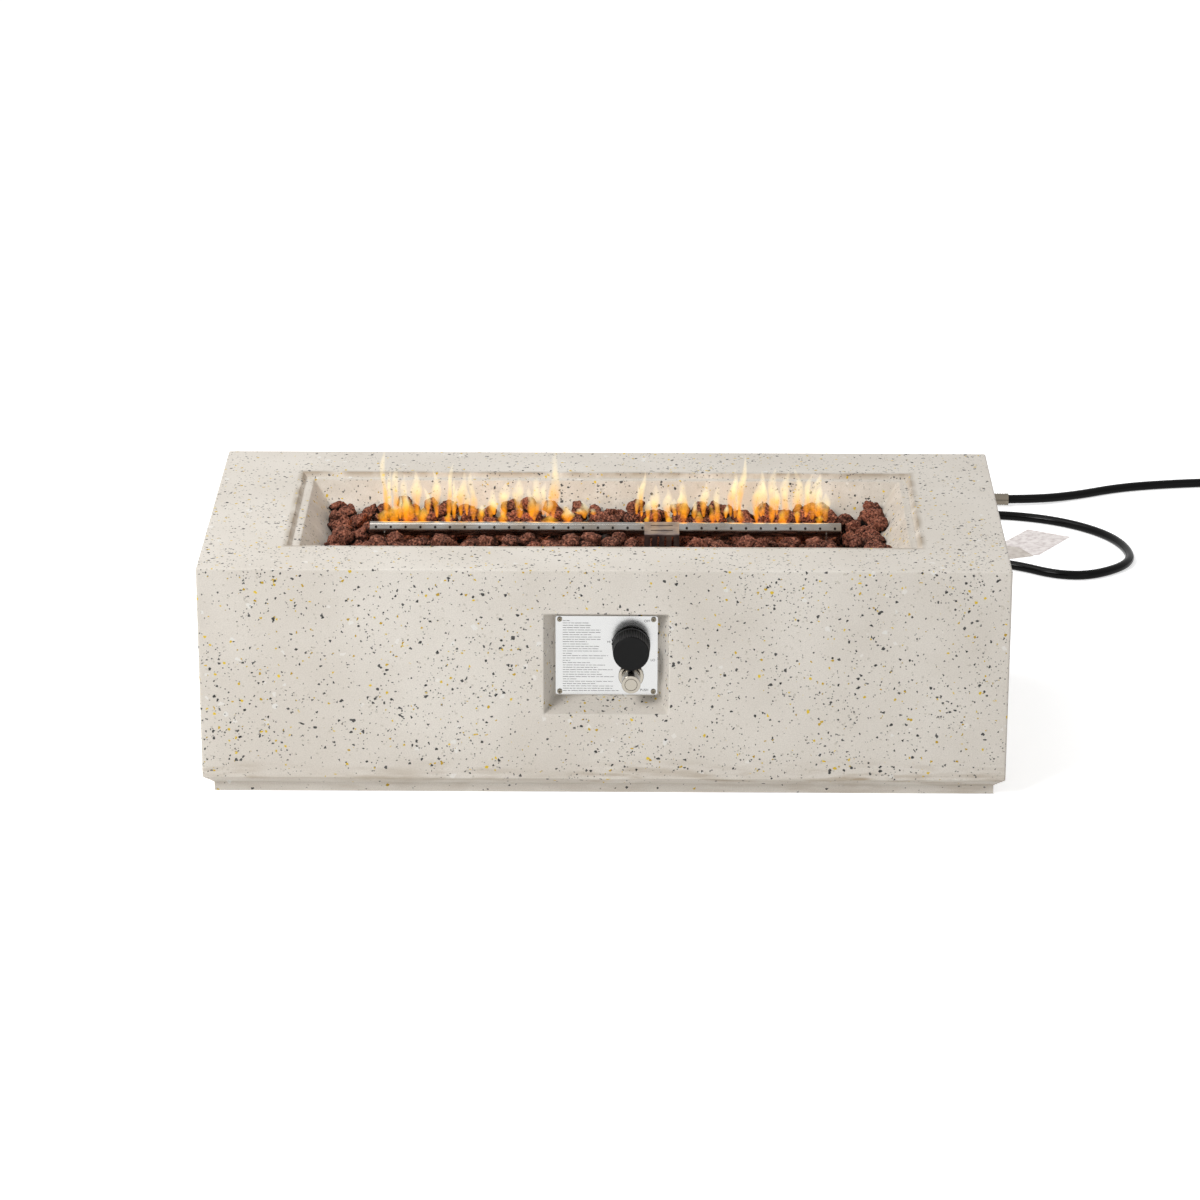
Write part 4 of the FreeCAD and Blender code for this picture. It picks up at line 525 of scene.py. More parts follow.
# %% Dress the frame
DRESS = [
    (terrazzo, ["concrete_body"]),
    (lava, ["lava_rocks"]),
    (burner_steel, ["burner_tube", "burner_end_caps"]),
    (bracket_steel, ["burner_support_left", "burner_support_right", "pilot_bracket"]),
    (guard_steel, ["igniter_guard"]),
    (zinc_steel, ["burner_inlet_pipe", "burner_support_screws", "floor_locknuts"]),
    (zinc_steel, ["guard_screws", "valve_screws", "igniter_nut", "inner_ferrule"]),
    (crimped_ferrule, ["lead_ferrule", "supply_ferrule", "regulator_ferrule"]),
    (turned_brass, ["air_mixer", "gas_orifice", "gas_tube_nuts", "valve_body", "valve_plug"]),
    (turned_brass, ["safety_magnet", "hose_union", "swivel_nut", "inlet_nipple"]),
    (drawn_copper, ["gas_tube", "thermocouple", "thermocouple_lead"]),
    (satin_plate, ["control_plate"]),
    (nickel_screw, ["plate_screws"]),
    (nickel_plate, ["igniter_barrel", "igniter_button"]),
    (drawn_wire, ["spark_electrode", "stem_spring", "button_spring", "valve_stem"]),
    (hose_rubber, ["inner_hose"]),
    (foot_rubber, ["foot_pads", "hose_grommet"]),
    (knob_plastic, ["knob"]),
    (black_plastic, ["igniter_module", "regulator_cap", "coupling_nut"]),
    (wire_silicone, ["igniter_wire"]),
    (glazed_ceramic, ["electrode_insulator"]),
    (battery_jacket, ["igniter_battery"]),
    (grey_enamel, ["regulator_body"]),
    (tag_paper, ["hose_tag"]),
]
for material, names in DRESS:
    for name in names:
        nodes[name].data.materials.clear()
        nodes[name].data.materials.append(material)
print("dressed:", sum(len(names) for material, names in DRESS))

# %% [markdown]
# A gas hose is stiff: it leaves the wall straight, comes down, and lies in wide loops.
# A mesh would need thousands of points, so each hose is one smooth curve with a round
# bevel. Its control points, in millimetres from the table's back right corner, are the
# ones that the solid hose was swept along, and one without a height lies on the ground.
# What the picture doesn't show of the supply hose is put away in a coil, whose turns come
# from a loop.

# %% Hose routes
CORNER = Vector((533.5, 245, 0))
HOSE_RADIUS = 7.0
GROUND_Z = HOSE_RADIUS + 0.05
TAG_Z = HOSE_RADIUS + 0.75
GROMMET = (-153.5, 0, 60)
COUPLING_Z = 11
LEAD_ROUTE = [
    GROMMET,
    *((-153.5, 47, 60), (-149.5, 107, 46), (-137.5, 171, 22), (-115.5, 233, 9)),
    *((-95.5, 293, TAG_Z), (-67.5, 351, TAG_Z), (-25.5, 400, TAG_Z), (28.5, 421, TAG_Z)),
    *((86.5, 404, TAG_Z), (145, 362), (202.5, 362), (263.5, 417), (263.5, 488)),
    *((233.5, 556), (168.5, 612), (82.5, 640), (2.5, 635), (-71.5, 607)),
    *((-149.5, 591), (-225.5, 595), (-285.5, 639), (-303.5, 709), (-269.5, 769)),
    *((-203.5, 785, 8), (-143.5, 749, 9), (-83.5, 703, COUPLING_Z), (-21.5, 703, COUPLING_Z)),
]
SUPPLY_ROUTE = [
    *((70.5, 703, COUPLING_Z), (134.5, 703, COUPLING_Z)),
    *((204.5, 733), (278.5, 773), (356.5, 792), (441.5, 803)),
]
COIL_X = 528.5
COIL_Y = 727.0
COIL_RADIUS = 73.0
COIL_TURNS = 2.25
COIL_STEPS = 16
COIL_PITCH = 2 * (HOSE_RADIUS + 0.05)
COIL_TOP_Z = GROUND_Z + 2 * COIL_PITCH
TAIL_ROUTE = [(601.5, 685, COIL_TOP_Z), (595.5, 632, 26), (588.5, 579, 20), (588.5, 535, 20)]


def coil_route():
    """Turns of the coil, clockwise. Near its end each turn climbs onto the one before."""
    route = []
    for i in range(round(COIL_TURNS * COIL_STEPS) + 1):
        turn, share = divmod(i / COIL_STEPS, 1)
        climb = max(0, (share - 0.6) / 0.4)
        level = min(turn + climb * climb * (3 - 2 * climb), 2)
        angle = math.pi / 2 - 2 * math.pi * share
        x = COIL_X + COIL_RADIUS * math.cos(angle)
        y = COIL_Y + COIL_RADIUS * math.sin(angle)
        route.append((x, y, GROUND_Z + COIL_PITCH * level))
    return route


def hose_curve(name, route):
    """A hose through the points of its route."""
    data = bpy.data.curves.new(name, "CURVE")
    data.dimensions = "3D"
    data.bevel_depth = HOSE_RADIUS * MM
    data.bevel_resolution = 5
    data.resolution_u = 10
    data.use_fill_caps = True
    line = data.splines.new("NURBS")
    line.points.add(len(route) - 1)
    for point, place in zip(line.points, route):
        x, y, z = (*place, GROUND_Z)[:3]
        point.co = ((CORNER + Vector((x, y, z))) * MM).to_4d()
    line.order_u = 3
    line.use_endpoint_u = True
    data.materials.append(hose_rubber)
    made = put(name, data)
    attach(made, "table")
    return made


# %% [markdown]
# Each hose is laid as a smooth curve along its route, and the frame's solid hose is hidden.
# The pieces at the end of the supply hose are listed, and the point where that hose leaves
# the object is worked out.

# %% Lay the hoses
SUPPLY_END = ["regulator_ferrule", "regulator_body", "regulator_cap", "inlet_nipple"]
SUPPLY_END += ["coupling_nut"]
lead = hose_curve("lead_hose_smooth", LEAD_ROUTE)
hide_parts("lead_hose")
supply = hose_curve("supply_hose_smooth", SUPPLY_ROUTE + coil_route() + TAIL_ROUTE)
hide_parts("supply_hose", "supply_coil", "supply_tail")
(CORNER + Vector(SUPPLY_ROUTE[0])) * MM

# %% [markdown]
# New pieces are made from lists of points in millimetres. This helper turns such a list
# into an object, gives it its finish, and says which body of the object carries it, so
# that it moves with that body when a joint moves. A sheet gets a thickness, and rows of
# points are joined by a grid of faces, which can close round an axis.

# %% Helper for new pieces
def piece(name, points, faces, material, body, smooth=False):
    """A new mesh piece that rides on a body of the object."""
    mesh = bpy.data.meshes.new(name)
    mesh.from_pydata([Vector(p) * MM for p in points], [], faces)
    mesh.materials.append(material)
    if smooth:
        mesh.shade_smooth()
    made = put(name, mesh)
    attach(made, body)
    return made


def thicken(made, thickness):
    """Gives a sheet a thickness, in mm, below its faces, so that its mesh is closed."""
    solid = made.modifiers.new("thickness", "SOLIDIFY")
    solid.thickness = thickness * MM
    solid.offset = -1


def grid_faces(rows, columns, round_rows=False, round_columns=False):
    """Four-sided faces between rows of points. A round grid closes on itself."""
    for i in range(rows if round_rows else rows - 1):
        for k in range(columns if round_columns else columns - 1):
            here = i * columns
            there = (i + 1) % rows * columns
            beside = (k + 1) % columns
            yield here + k, here + beside, there + beside, there + k


print("helpers for pieces ready")

# %% [markdown]
# The stones are loose lava rock, 18 to 37 mm across. A rigid-body drop would settle them
# truly, but its heap can't be steered clear of the burner. So nine different stones are
# shaped from balls, to be laid by rule. Flat cuts make the broken faces of a crushed stone,
# and noise makes lumps and small pits.

# %% Shapes of the stones
STONE_KINDS = 9
STONE_CUTS = 11
# Measured in radii of the stone: how deep the flat cuts lie, how far a point may reach, the
# lumps, each with its height and with how often it comes, and the pits.
CUT_NEAREST, CUT_FARTHEST = 0.62, 0.92
FARTHEST = 1.12
SWELL = 0.06
LUMPS = ((0.2, 1.4), (0.12, 3.1))
PITS_OFTEN = 5.5
PIT_DEPTH = 0.2
PIT_REACH = 0.38


def stone_shape(seed):
    """One stone of about unit radius: its points and faces."""
    draw = random.Random(seed)
    cuts = []
    for _ in range(STONE_CUTS):
        facing = Vector([draw.gauss(0, 1) for _ in range(3)]).normalized()
        cuts.append((facing, draw.uniform(CUT_NEAREST, CUT_FARTHEST)))
    ball = bmesh.new()
    bmesh.ops.create_icosphere(ball, subdivisions=4, radius=1.0)
    away = Vector((seed * 7.3, seed * 3.1, seed * 5.7))
    squash = Vector((1.0, 0.8 + 0.05 * (seed % 4), 0.74 + 0.06 * (seed % 3)))
    points = []
    for vertex in ball.verts:
        p = vertex.co
        reach = min([FARTHEST] + [deep / f.dot(p) for f, deep in cuts if f.dot(p) > 0.1])
        lump = sum(height * noise.noise(p * often + away) for height, often in LUMPS)
        pit = noise.voronoi(p * PITS_OFTEN + away)[0][0]
        hole = PIT_DEPTH * max(0.0, PIT_REACH - pit) / PIT_REACH
        points.append(p * (SWELL + reach + lump - hole) * squash)
    faces = [[v.index for v in face.verts] for face in ball.faces]
    ball.free()
    return points, faces


stone_shapes = [stone_shape(k + 1) for k in range(STONE_KINDS)]
print("stone shapes:", STONE_KINDS, "with", len(stone_shapes[0][0]), "points each")

# %% [markdown]
# The heap is a little higher towards the bowl's walls than beside the burner, and it
# leaves the igniter guard and the burner's feet free. Its height could be painted or
# sculpted, but a formula of the place keeps each part of it easy to change.

# %% Heights of the heap
BURNER_HALF = BURNER_LENGTH / 2
BURNER_RADIUS = 9.5
END_FROM = BURNER_HALF + 4
END_Z, END_RISE, END_REACH = 287, 9, 30
BACK_Z, BACK_RISE = 288, 9
FRONT_Z, FRONT_RISE = 292, 6
SIDE_REACH = 45
GUARD_BOX = (51.0, 102.0, -52.0, 1.0)
SUPPORT_FROM = 280.0
SUPPORT_TO = 304.0
SUPPORT_HALF = 13.0


def heap_height(x, y):
    """How high the stones reach over a point of the bowl, in mm."""
    if abs(x) > END_FROM:
        return END_Z + END_RISE * min(1.0, (abs(x) - BURNER_HALF) / END_REACH)
    beyond = min(1.0, (abs(y) - BURNER_RADIUS) / SIDE_REACH)
    if y > BURNER_RADIUS:
        return BACK_Z + BACK_RISE * beyond
    return FRONT_Z + FRONT_RISE * beyond


def is_free(x, y, radius):
    """False where the igniter guard or a foot of the burner stands."""
    left, right_side, front, back = GUARD_BOX
    by_guard = left - radius < x < right_side + radius and front - radius < y < back + radius
    by_foot = SUPPORT_FROM - radius < abs(x) < SUPPORT_TO + radius
    return not by_guard and not (by_foot and abs(y) < SUPPORT_HALF + radius)


print("height at the back wall:", heap_height(0, BURNER_RADIUS + SIDE_REACH), "mm")

# %% [markdown]
# The stones lie in two layers on a jittered grid, clear of the burner, and are moved in
# from the bowl's sloping walls. Chance gives each a small step in height. Five more stones
# hide the inlet and the feet and fill a corner, as in the picture.

# %% Lay the stones
STONE_SEED = 5
STONE_LAYERS = [
    # pitch of the grid, smallest and largest radius, and how far it lies lower, in mm
    (29.0, 11.0, 16.5, 0.0),
    (25.0, 9.0, 13.0, 11.0),
]
STONE_JITTER = 0.3
STONE_STEPS = (-8, 6)
WALL_PLAY = 4
STONE_SHRINK = 0.93
STONE_CLEARANCE = 0.92
BOWL_HALF_X = 392.0
BOWL_HALF_Y = 122.0
LIP_HALF_X = 406.0
LIP_HALF_Y = 137.5
LIP_Z = 314.0
WALL_SLOPE = 0.8
UNDER_BURNER_Z = 280.8
PROP_STONES = [
    # in front of the inlet pipe and of the burner's feet, and one in the right front
    # corner: x, y, radius, top
    (-8.0, -26.0, 14.5, 284.0),
    (14.0, -29.0, 13.0, 282.0),
    (-292.0, -28.0, 15.0, 285.0),
    (292.0, -28.0, 15.0, 285.0),
    (374.0, -86.0, 13.0, 303.0),
]


def stone_places(draw):
    """A jittered grid for each layer: place, radius and depth of the layer."""
    for pitch, smallest, largest, lower in STONE_LAYERS:
        columns = int(2 * BOWL_HALF_X / pitch)
        rows = int(2 * BOWL_HALF_Y / pitch)
        for i in range(columns + 1):
            for j in range(rows + 1):
                x = (i - columns / 2 + draw.uniform(-STONE_JITTER, STONE_JITTER)) * pitch
                y = (j - rows / 2 + draw.uniform(-STONE_JITTER, STONE_JITTER)) * pitch
                yield x, y, draw.uniform(smallest, largest), lower


def stone_list(draw):
    """Place, radius and top of every stone, kept between the walls and off the burner."""
    for x, y, radius, lower in stone_places(draw):
        top = heap_height(x, y) + draw.uniform(*STONE_STEPS) - lower
        if abs(x) < BURNER_HALF + radius and abs(y) < BURNER_RADIUS + radius:
            top = min(top, UNDER_BURNER_Z)
        play = draw.uniform(-WALL_PLAY, WALL_PLAY)
        room = radius + play + WALL_SLOPE * (LIP_Z - top + radius)
        x = max(room - LIP_HALF_X, min(LIP_HALF_X - room, x))
        y = max(room - LIP_HALF_Y, min(LIP_HALF_Y - room, y))
        if is_free(x, y, radius * STONE_CLEARANCE):
            yield x, y, radius, top
    yield from PROP_STONES


def lay_stones():
    """The points and faces of the whole heap."""
    draw = random.Random(STONE_SEED)
    points = []
    faces = []
    for x, y, radius, top in stone_list(draw):
        turn = Matrix.Rotation(draw.uniform(0, 6.28), 3, "Z")
        tip = Matrix.Rotation(draw.uniform(-0.6, 0.6), 3, "X")
        shape_points, shape_faces = draw.choice(stone_shapes)
        place = Vector((x, y, top - radius))
        first = len(points)
        points.extend(turn @ tip @ p * radius * STONE_SHRINK + place for p in shape_points)
        faces.extend([first + k for k in face] for face in shape_faces)
    return points, faces


points, faces = lay_stones()
stones = piece("lava_stones", points, faces, lava, "table", smooth=True)
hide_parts("lava_rocks")
print("stones laid:", len(points) // len(stone_shapes[0][0]))

# %% [markdown]
# Under the stones one looks down into gaps, and at their bottom lie more stones. Whole
# stones there would cost time for nothing, so a sheet with round humps stands for them.

# %% Bed under the stones
BED_HALF_X = 370.0
BED_HALF_Y = 98.0
BED_STEP = 6.0
BED_Z = 262.0
BED_THICKNESS = 2.0
HUMP_WIDTH, HUMP_HEIGHT = 17, 14
GRAIN_WIDTH, GRAIN_HEIGHT = 6, 3


def bed_of_stones():
    """A sheet with round humps: its points and faces."""
    columns = int(2 * BED_HALF_X / BED_STEP)
    rows = int(2 * BED_HALF_Y / BED_STEP)
    points = []
    for j in range(rows + 1):
        for i in range(columns + 1):
            x = BED_HALF_X * (2 * i / columns - 1)
            y = BED_HALF_Y * (2 * j / rows - 1)
            dip = HUMP_HEIGHT * noise.voronoi(Vector((x, y, 3)) / HUMP_WIDTH)[0][0]
            rough = GRAIN_HEIGHT * noise.noise(Vector((x, y, 9)) / GRAIN_WIDTH)
            points.append((x, y, BED_Z - dip + rough))
    return points, list(grid_faces(rows + 1, columns + 1))


points, faces = bed_of_stones()
bed = piece("lava_bed", points, faces, lava, "table", smooth=True)
thicken(bed, BED_THICKNESS)
print("bed points:", len(points))

# %% [markdown]
# The knob is a black moulding with fine ribs for the fingers, a flat face, rounded edges
# and a hollow back. Ribs on a solid would be heavy, so the knob is turned here: a profile
# is swept round the axis, and where the ribs are, its radius rises and falls. A small nose
# on its skirt shows how far it is turned. It stands near ten o'clock, as for a large flame.

# %% Knob
KNOB_AXIS_X = 36.0
KNOB_AXIS_Z = 203.0
KNOB_FACE_Y = -244.4
KNOB_RIBS = 44
KNOB_STEPS = 8
KNOB_PROFILE = [
    # radius, distance behind the face, depth of the ribs there, in mm
    *((0.0, 0.5, 0.0), (17.0, 0.5, 0.0), (21.3, 0.15, 0.0), (22.4, 0.0, 0.0)),
    *((23.2, 0.3, 0.0), (23.75, 0.9, 0.0), (23.95, 1.7, 0.25), (24.05, 3.0, 0.9)),
    *((24.8, 22.0, 0.9), (24.9, 23.2, 0.25), (25.1, 24.2, 0.0), (25.2, 29.2, 0.0)),
    *((24.9, 30.0, 0.0), (21.4, 30.0, 0.0), (20.9, 29.4, 0.0), (20.9, 5.0, 0.0)),
    *((7.0, 5.0, 0.0), (7.0, 27.0, 0.0), (4.2, 27.0, 0.0), (4.2, 11.9, 0.0)),
    (0.0, 11.9, 0.0),
]
NOSE_ANGLE = math.radians(279.5)
NOSE_HALF_ANGLE = 0.07
NOSE_HEIGHT = 1.2
NOSE_FROM = 23.2
NOSE_OUTSIDE = 24.0


def turn_knob():
    """The points and faces of the knob, with its profile swept round its axis."""
    points = []
    around = KNOB_RIBS * KNOB_STEPS
    for i in range(around):
        angle = 2 * math.pi * i / around
        groove = 0.5 - 0.5 * math.cos(angle * KNOB_RIBS)
        nose = NOSE_HEIGHT * max(0, 1 - abs(angle - NOSE_ANGLE) / NOSE_HALF_ANGLE)
        for radius, behind, depth in reversed(KNOB_PROFILE):
            r = radius - groove * depth
            if behind > NOSE_FROM and radius > NOSE_OUTSIDE:
                r += nose
            x = KNOB_AXIS_X + r * math.sin(angle)
            z = KNOB_AXIS_Z + r * math.cos(angle)
            points.append((x, KNOB_FACE_Y + behind, z))
    return points, list(grid_faces(around, len(KNOB_PROFILE), round_rows=True))


points, faces = turn_knob()
knob = piece("knob_ribbed", points, faces, knob_plastic, "knob", smooth=True)
knob.modifiers.new("one point at the middle", "WELD").merge_threshold = 0.001 * MM
knob.modifiers.new("sharp edges", "EDGE_SPLIT").split_angle = math.radians(40)
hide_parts("knob")
print("knob ribs:", KNOB_RIBS)

# %% [markdown]
# Two springs push the knob and the button out again. Each is a wire wound in a helix: a
# ring of points, carried round and along the axis. A face at each end closes the wire.

# %% Springs
SPRING_TURNS = 5
SPRING_STEPS = 24
SPRING_SIDES = 8
SPRING_GAP = 0.1
SPRINGS = {
    # name: front and back end along Y, X and Z of its axis, radius, wire, in mm, and joint
    "stem_spring": (-196.2, -180.4, 36.0, 203.0, 5.6, 0.8, "knob_push"),
    "button_spring": (-241.4, -226.0, 36.0, 159.5, 5.0, 1.0, "button_push"),
}


def wind_spring(name):
    """Lays a round wire along a helix."""
    front, back, middle_x, middle_z, radius, wire, joint = SPRINGS[name]
    steps = SPRING_TURNS * SPRING_STEPS
    rim = SPRING_GAP + wire / 2
    points = []
    for i in range(steps + 1):
        around = 2 * math.pi * i / SPRING_STEPS
        y = front + rim + (back - front - 2 * rim) * i / steps
        for k in range(SPRING_SIDES):
            turn = 2 * math.pi * k / SPRING_SIDES
            r = radius + wire / 2 * math.cos(turn)
            x = middle_x + r * math.cos(around)
            z = middle_z + r * math.sin(around)
            points.append((x, y + wire / 2 * math.sin(turn), z))
    faces = list(grid_faces(steps + 1, SPRING_SIDES, round_columns=True))
    end = steps * SPRING_SIDES
    faces += [tuple(reversed(range(SPRING_SIDES))), tuple(range(end, end + SPRING_SIDES))]
    wound = name + "_wound"
    made = piece(wound, points, faces, drawn_wire, "table", smooth=True)
    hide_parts(name)
    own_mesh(made)


for name in SPRINGS:
    wind_spring(name)
print("springs:", ", ".join(SPRINGS))

# %% [markdown]
# The plate is printed with a block of small grey lines. They are plain rules without
# letters, each broken into short strokes, as words would break it. Each stroke is a thin
# closed box, and its face stands 0.06 mm off the plate, about as a screen print does.

# %% Print on the plate
PLATE_FACE_Y = -210.5
PRINT_HEIGHT = 0.06
RULE_LEFT = -54.5
RULE_TOP = 236.9
RULE_PITCH = 3.3
RULE_HALF = 0.34
STROKE_SEED = 3
STROKES = (2.5, 9)
STROKE_GAPS = (0.7, 1.2)
RULE_ENDS = [9, 34, 38, 36, 50, 50, 38, 50, 50, 32, 34, 48, 48, 52, 12, 60, 54, 10, 36, 56]
RULE_ENDS += [46, 66, 48, 52, 68, 18, 66, 44, 68, 66, 74]
BOX_FACES = [(0, 1, 2, 3), (7, 6, 5, 4), (0, 4, 5, 1), (1, 5, 6, 2), (2, 6, 7, 3), (3, 7, 4, 0)]


def ruled_lines():
    """The points and faces of all the strokes."""
    draw = random.Random(STROKE_SEED)
    points = []
    faces = []
    for row, length in enumerate(RULE_ENDS):
        z = RULE_TOP - row * RULE_PITCH
        start = RULE_LEFT
        while start < RULE_LEFT + length:
            stop = min(RULE_LEFT + length, start + draw.uniform(*STROKES))
            first = len(points)
            low = z - RULE_HALF
            high = z + RULE_HALF
            for y in (PLATE_FACE_Y - PRINT_HEIGHT, PLATE_FACE_Y - PRINT_HEIGHT / 2):
                points += [(start, y, low), (stop, y, low), (stop, y, high), (start, y, high)]
            faces += [tuple(first + k for k in face) for face in BOX_FACES]
            start = stop + draw.uniform(*STROKE_GAPS)
    return points, faces


points, faces = ruled_lines()
piece("plate_rules", points, faces, print_grey, "table")
print("strokes:", len(faces) // len(BOX_FACES))

# %% [markdown]
# Beside the knob and the igniter stand a few black words that any such control has. Text
# curves set real letters, and a small extrusion gives them the thickness of the print.

# %% Words on the plate
WORD_SIZE = 4.6
WORDS = {
    # word: middle of it along the plate and up, in mm
    "OFF": (57.0, 236.5),
    "HI": (6.5, 207.0),
    "LO": (64.6, 181.5),
    "PUSH": (53.5, 139.0),
}


def plate_word(word, x, z):
    """A printed word with its middle at a place on the plate."""
    data = bpy.data.curves.new("word_" + word, "FONT")
    data.body = word
    data.size = WORD_SIZE * MM
    data.align_x = "CENTER"
    data.align_y = "CENTER"
    data.extrude = PRINT_HEIGHT / 2 * MM
    data.materials.append(print_black)
    made = put("word_" + word, data)
    place = Vector((x, PLATE_FACE_Y - PRINT_HEIGHT, z)) * MM
    made.matrix_world = Matrix.Translation(place) @ Matrix.Rotation(math.pi / 2, 4, "X")
    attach(made, "table")


for word, (x, z) in WORDS.items():
    plate_word(word, x, z)
print("words:", ", ".join(WORDS))

# %% [markdown]
# One corner of the paper tag is folded under itself, and its back, painted darker and
# greyer as the shade it lies in, shows beside the body. It is a small leaf of its own that
# rises a little from the ground.

# %% Folded corner of the tag
FOLD = [
    *((577.0, 716.0, 1.2), (600.0, 690.5, 1.1), (652.0, 710.0, 1.0)),
    *((632.0, 742.0, 3.2), (600.0, 752.0, 4.6), (578.0, 742.0, 3.0)),
]
PAPER = 0.2
fold_faces = [(0, 1, 5), (1, 4, 5), (1, 3, 4), (1, 2, 3)]
fold = piece("tag_fold", FOLD, fold_faces, tag_shade, "table")
thicken(fold, PAPER)
print("tag fold points:", len(FOLD))

# %% [markdown]
# In the picture the burner is alight. Flames are glowing gas and no piece of the object,
# so they stand with the floor as part of the setting. A simulated fire would need a
# volume and its cache. Upright ribbons that glow and fade at their edges are enough for
# thin tongues over a line of ports: tall pale yellow ones, and low orange ones that lick
# round the stones. Each tongue is two crossed ribbons, so it holds up from the side too.
# A picture clips a flame's brightness, so what it casts on the walls is stronger than
# what the camera sees of it.

# %% Material of the flames
# Glowing soot in burning propane: no surface and no shine, orange where it is cooler at the
# foot and pale yellow above.
FLAME_LIGHT = 5.5
FLAME_SEEN = 1.4
FLAME_COVER = 0.78


def make_flame(name, foot_colour, middle_colours, top_colour):
    """Light that shows through itself and fades to its edges and its top."""
    material = bpy.data.materials.new(name)
    material.use_nodes = True
    tree = material.node_tree
    tree.nodes.clear()
    place = add(tree, "SeparateXYZ", {0: add(tree, "UVMap")})
    edge = place.outputs[0]
    upward = place.outputs[1]
    ramp = add(tree, "ValToRGB", {0: upward})
    stops = ramp.color_ramp.elements
    stops[0].color = colour(foot_colour)
    stops[1].color = colour(top_colour)
    for position, code in middle_colours:
        stops.new(position).color = colour(code)
    path = add(tree, "LightPath")
    direct = path.outputs["Is Camera Ray"]
    seen = {"Value": direct, "To Min": FLAME_LIGHT, "To Max": FLAME_SEEN}
    glow = add(tree, "Emission", {0: ramp, 1: add(tree, "MapRange", seen)})
    sums = (("SUBTRACT", 0.5), ("MULTIPLY", 2.0), ("ABSOLUTE", 0), ("POWER", 2.4))
    for operation, number in sums:
        edge = add(tree, "Math", {0: edge, 1: number}, operation=operation)
    high = add(tree, "Math", {0: upward, 1: 4.0}, operation="POWER")
    at = add(tree, "TexCoord").outputs["Object"]
    wisps = patches(tree, at, 14, 2.0, 0.3, 0.7, {"To Min": 0.3})
    cover = add(tree, "Math", {0: wisps, 1: FLAME_COVER}, operation="MULTIPLY")
    for gone in (edge, high):
        left = add(tree, "Math", {0: 1.0, 1: gone}, operation="SUBTRACT")
        cover = add(tree, "Math", {0: cover, 1: left}, operation="MULTIPLY")
    clear = add(tree, "BsdfTransparent")
    mixed = add(tree, "MixShader", {0: cover, 1: clear, 2: glow})
    add(tree, "OutputMaterial", {0: mixed})
    return material


yellow_stops = ((0.2, "FF9E22"), (0.38, "FFBA52"), (0.56, "FFE4A6"))
yellow_flame = make_flame("yellow_gas_flame", "F89220", yellow_stops, "FFF4D6")
orange_stops = ((0.35, "FF9A14"), (0.7, "FFC040"))
orange_flame = make_flame("orange_gas_flame", "E8700A", orange_stops, "FFE08A")
print("flame nodes:", len(yellow_flame.node_tree.nodes))

# %% [markdown]
# The ribbons of a tongue are narrow at the foot, swell to a belly and end in a point, and
# they lean and sway a little as gas does. Powers and sines of the height give that shape.

# %% Shape of a flame
FLAME_FOOT = 290.0
FLAME_FOOT_SHIFT = (-3, 6)
FLAME_STEPS = 22
FLAME_LEAN = 0.12
FLAME_SWAY = (0.02, 0.06)


def ribbon_points(draw, x, y, height, width):
    """Two crossed ribbons of one tongue: points, and their place across and up it."""
    lean = draw.uniform(-FLAME_LEAN, FLAME_LEAN) * height
    phase = draw.uniform(0, 6.28)
    sway = draw.uniform(*FLAME_SWAY) * height
    foot = FLAME_FOOT + draw.uniform(*FLAME_FOOT_SHIFT)
    for turn in (0, math.pi / 2):
        for k in range(FLAME_STEPS + 1):
            t = k / FLAME_STEPS
            belly = 1.95 * (t + 0.02) ** 0.65 * (1 - t) ** 0.75
            half = width / 2 * belly * (1 + 0.24 * math.sin(phase + 9 * t)) + 0.15
            middle = x + lean * t * t + sway * math.sin(phase + 6.5 * t) * t
            for side in (-1, 0, 1):
                out_x = side * half * math.cos(turn)
                out_y = side * half * math.sin(turn) * 0.5
                point = (middle + out_x, y + out_y, foot + height * t)
                yield point, (0.5 + 0.5 * side, t)


print("points of a flame:", 2 * 3 * (FLAME_STEPS + 1))

# %% [markdown]
# The tongues rise from behind the burner tube, which stays in sight. A smaller one stands
# beside each tall one, and the low ones are nearer to the tube.

# %% Flames
FLAME_SEED = 8
FLAMES = [
    # place along the burner, height of the tip above the ground, width, in mm
    *((-301, 400, 13), (-286, 373, 17), (-273, 367, 15), (-258, 364, 22), (-231, 369, 18)),
    *((-215, 382, 12), (-198, 364, 18), (-181, 369, 17), (-157, 341, 20), (-140, 352, 22)),
    *((-118, 357, 23), (-98, 362, 25), (-72, 396, 22), (-51, 318, 25), (-29, 324, 20)),
    *((49, 365, 12), (68, 354, 20), (85, 347, 20), (109, 353, 18), (134, 349, 18)),
    *((153, 351, 15), (171, 369, 17), (183, 392, 15), (206, 371, 22), (227, 378, 18)),
    *((245, 374, 20), (262, 377, 22), (282, 366, 22), (300, 340, 22)),
]
LOW_FLAMES = [
    *((-303, 314, 24), (-288, 320, 26), (-270, 326, 30), (-250, 318, 24), (-215, 308, 12)),
    *((-170, 310, 14), (-140, 310, 16), (-76, 308, 26), (-52, 316, 20), (56, 306, 10)),
    *((86, 308, 12), (106, 322, 16), (127, 310, 14), (146, 318, 12), (184, 308, 14)),
    *((206, 316, 12), (240, 314, 16), (262, 308, 12), (291, 304, 14)),
]
FLAME_Y = 41.0
FLAME_TIP_DROP = 8.0
LOW_FLAME_Y = 15.0
FLAME_SHIFT = 3.0
FLAME_WIDTH = 0.85
BESIDE_WIDTH = 0.6
BESIDE_AT = (0.4, 0.8)
BESIDE_HEIGHT = (0.35, 0.8)
BESIDE_BACK = 7.0


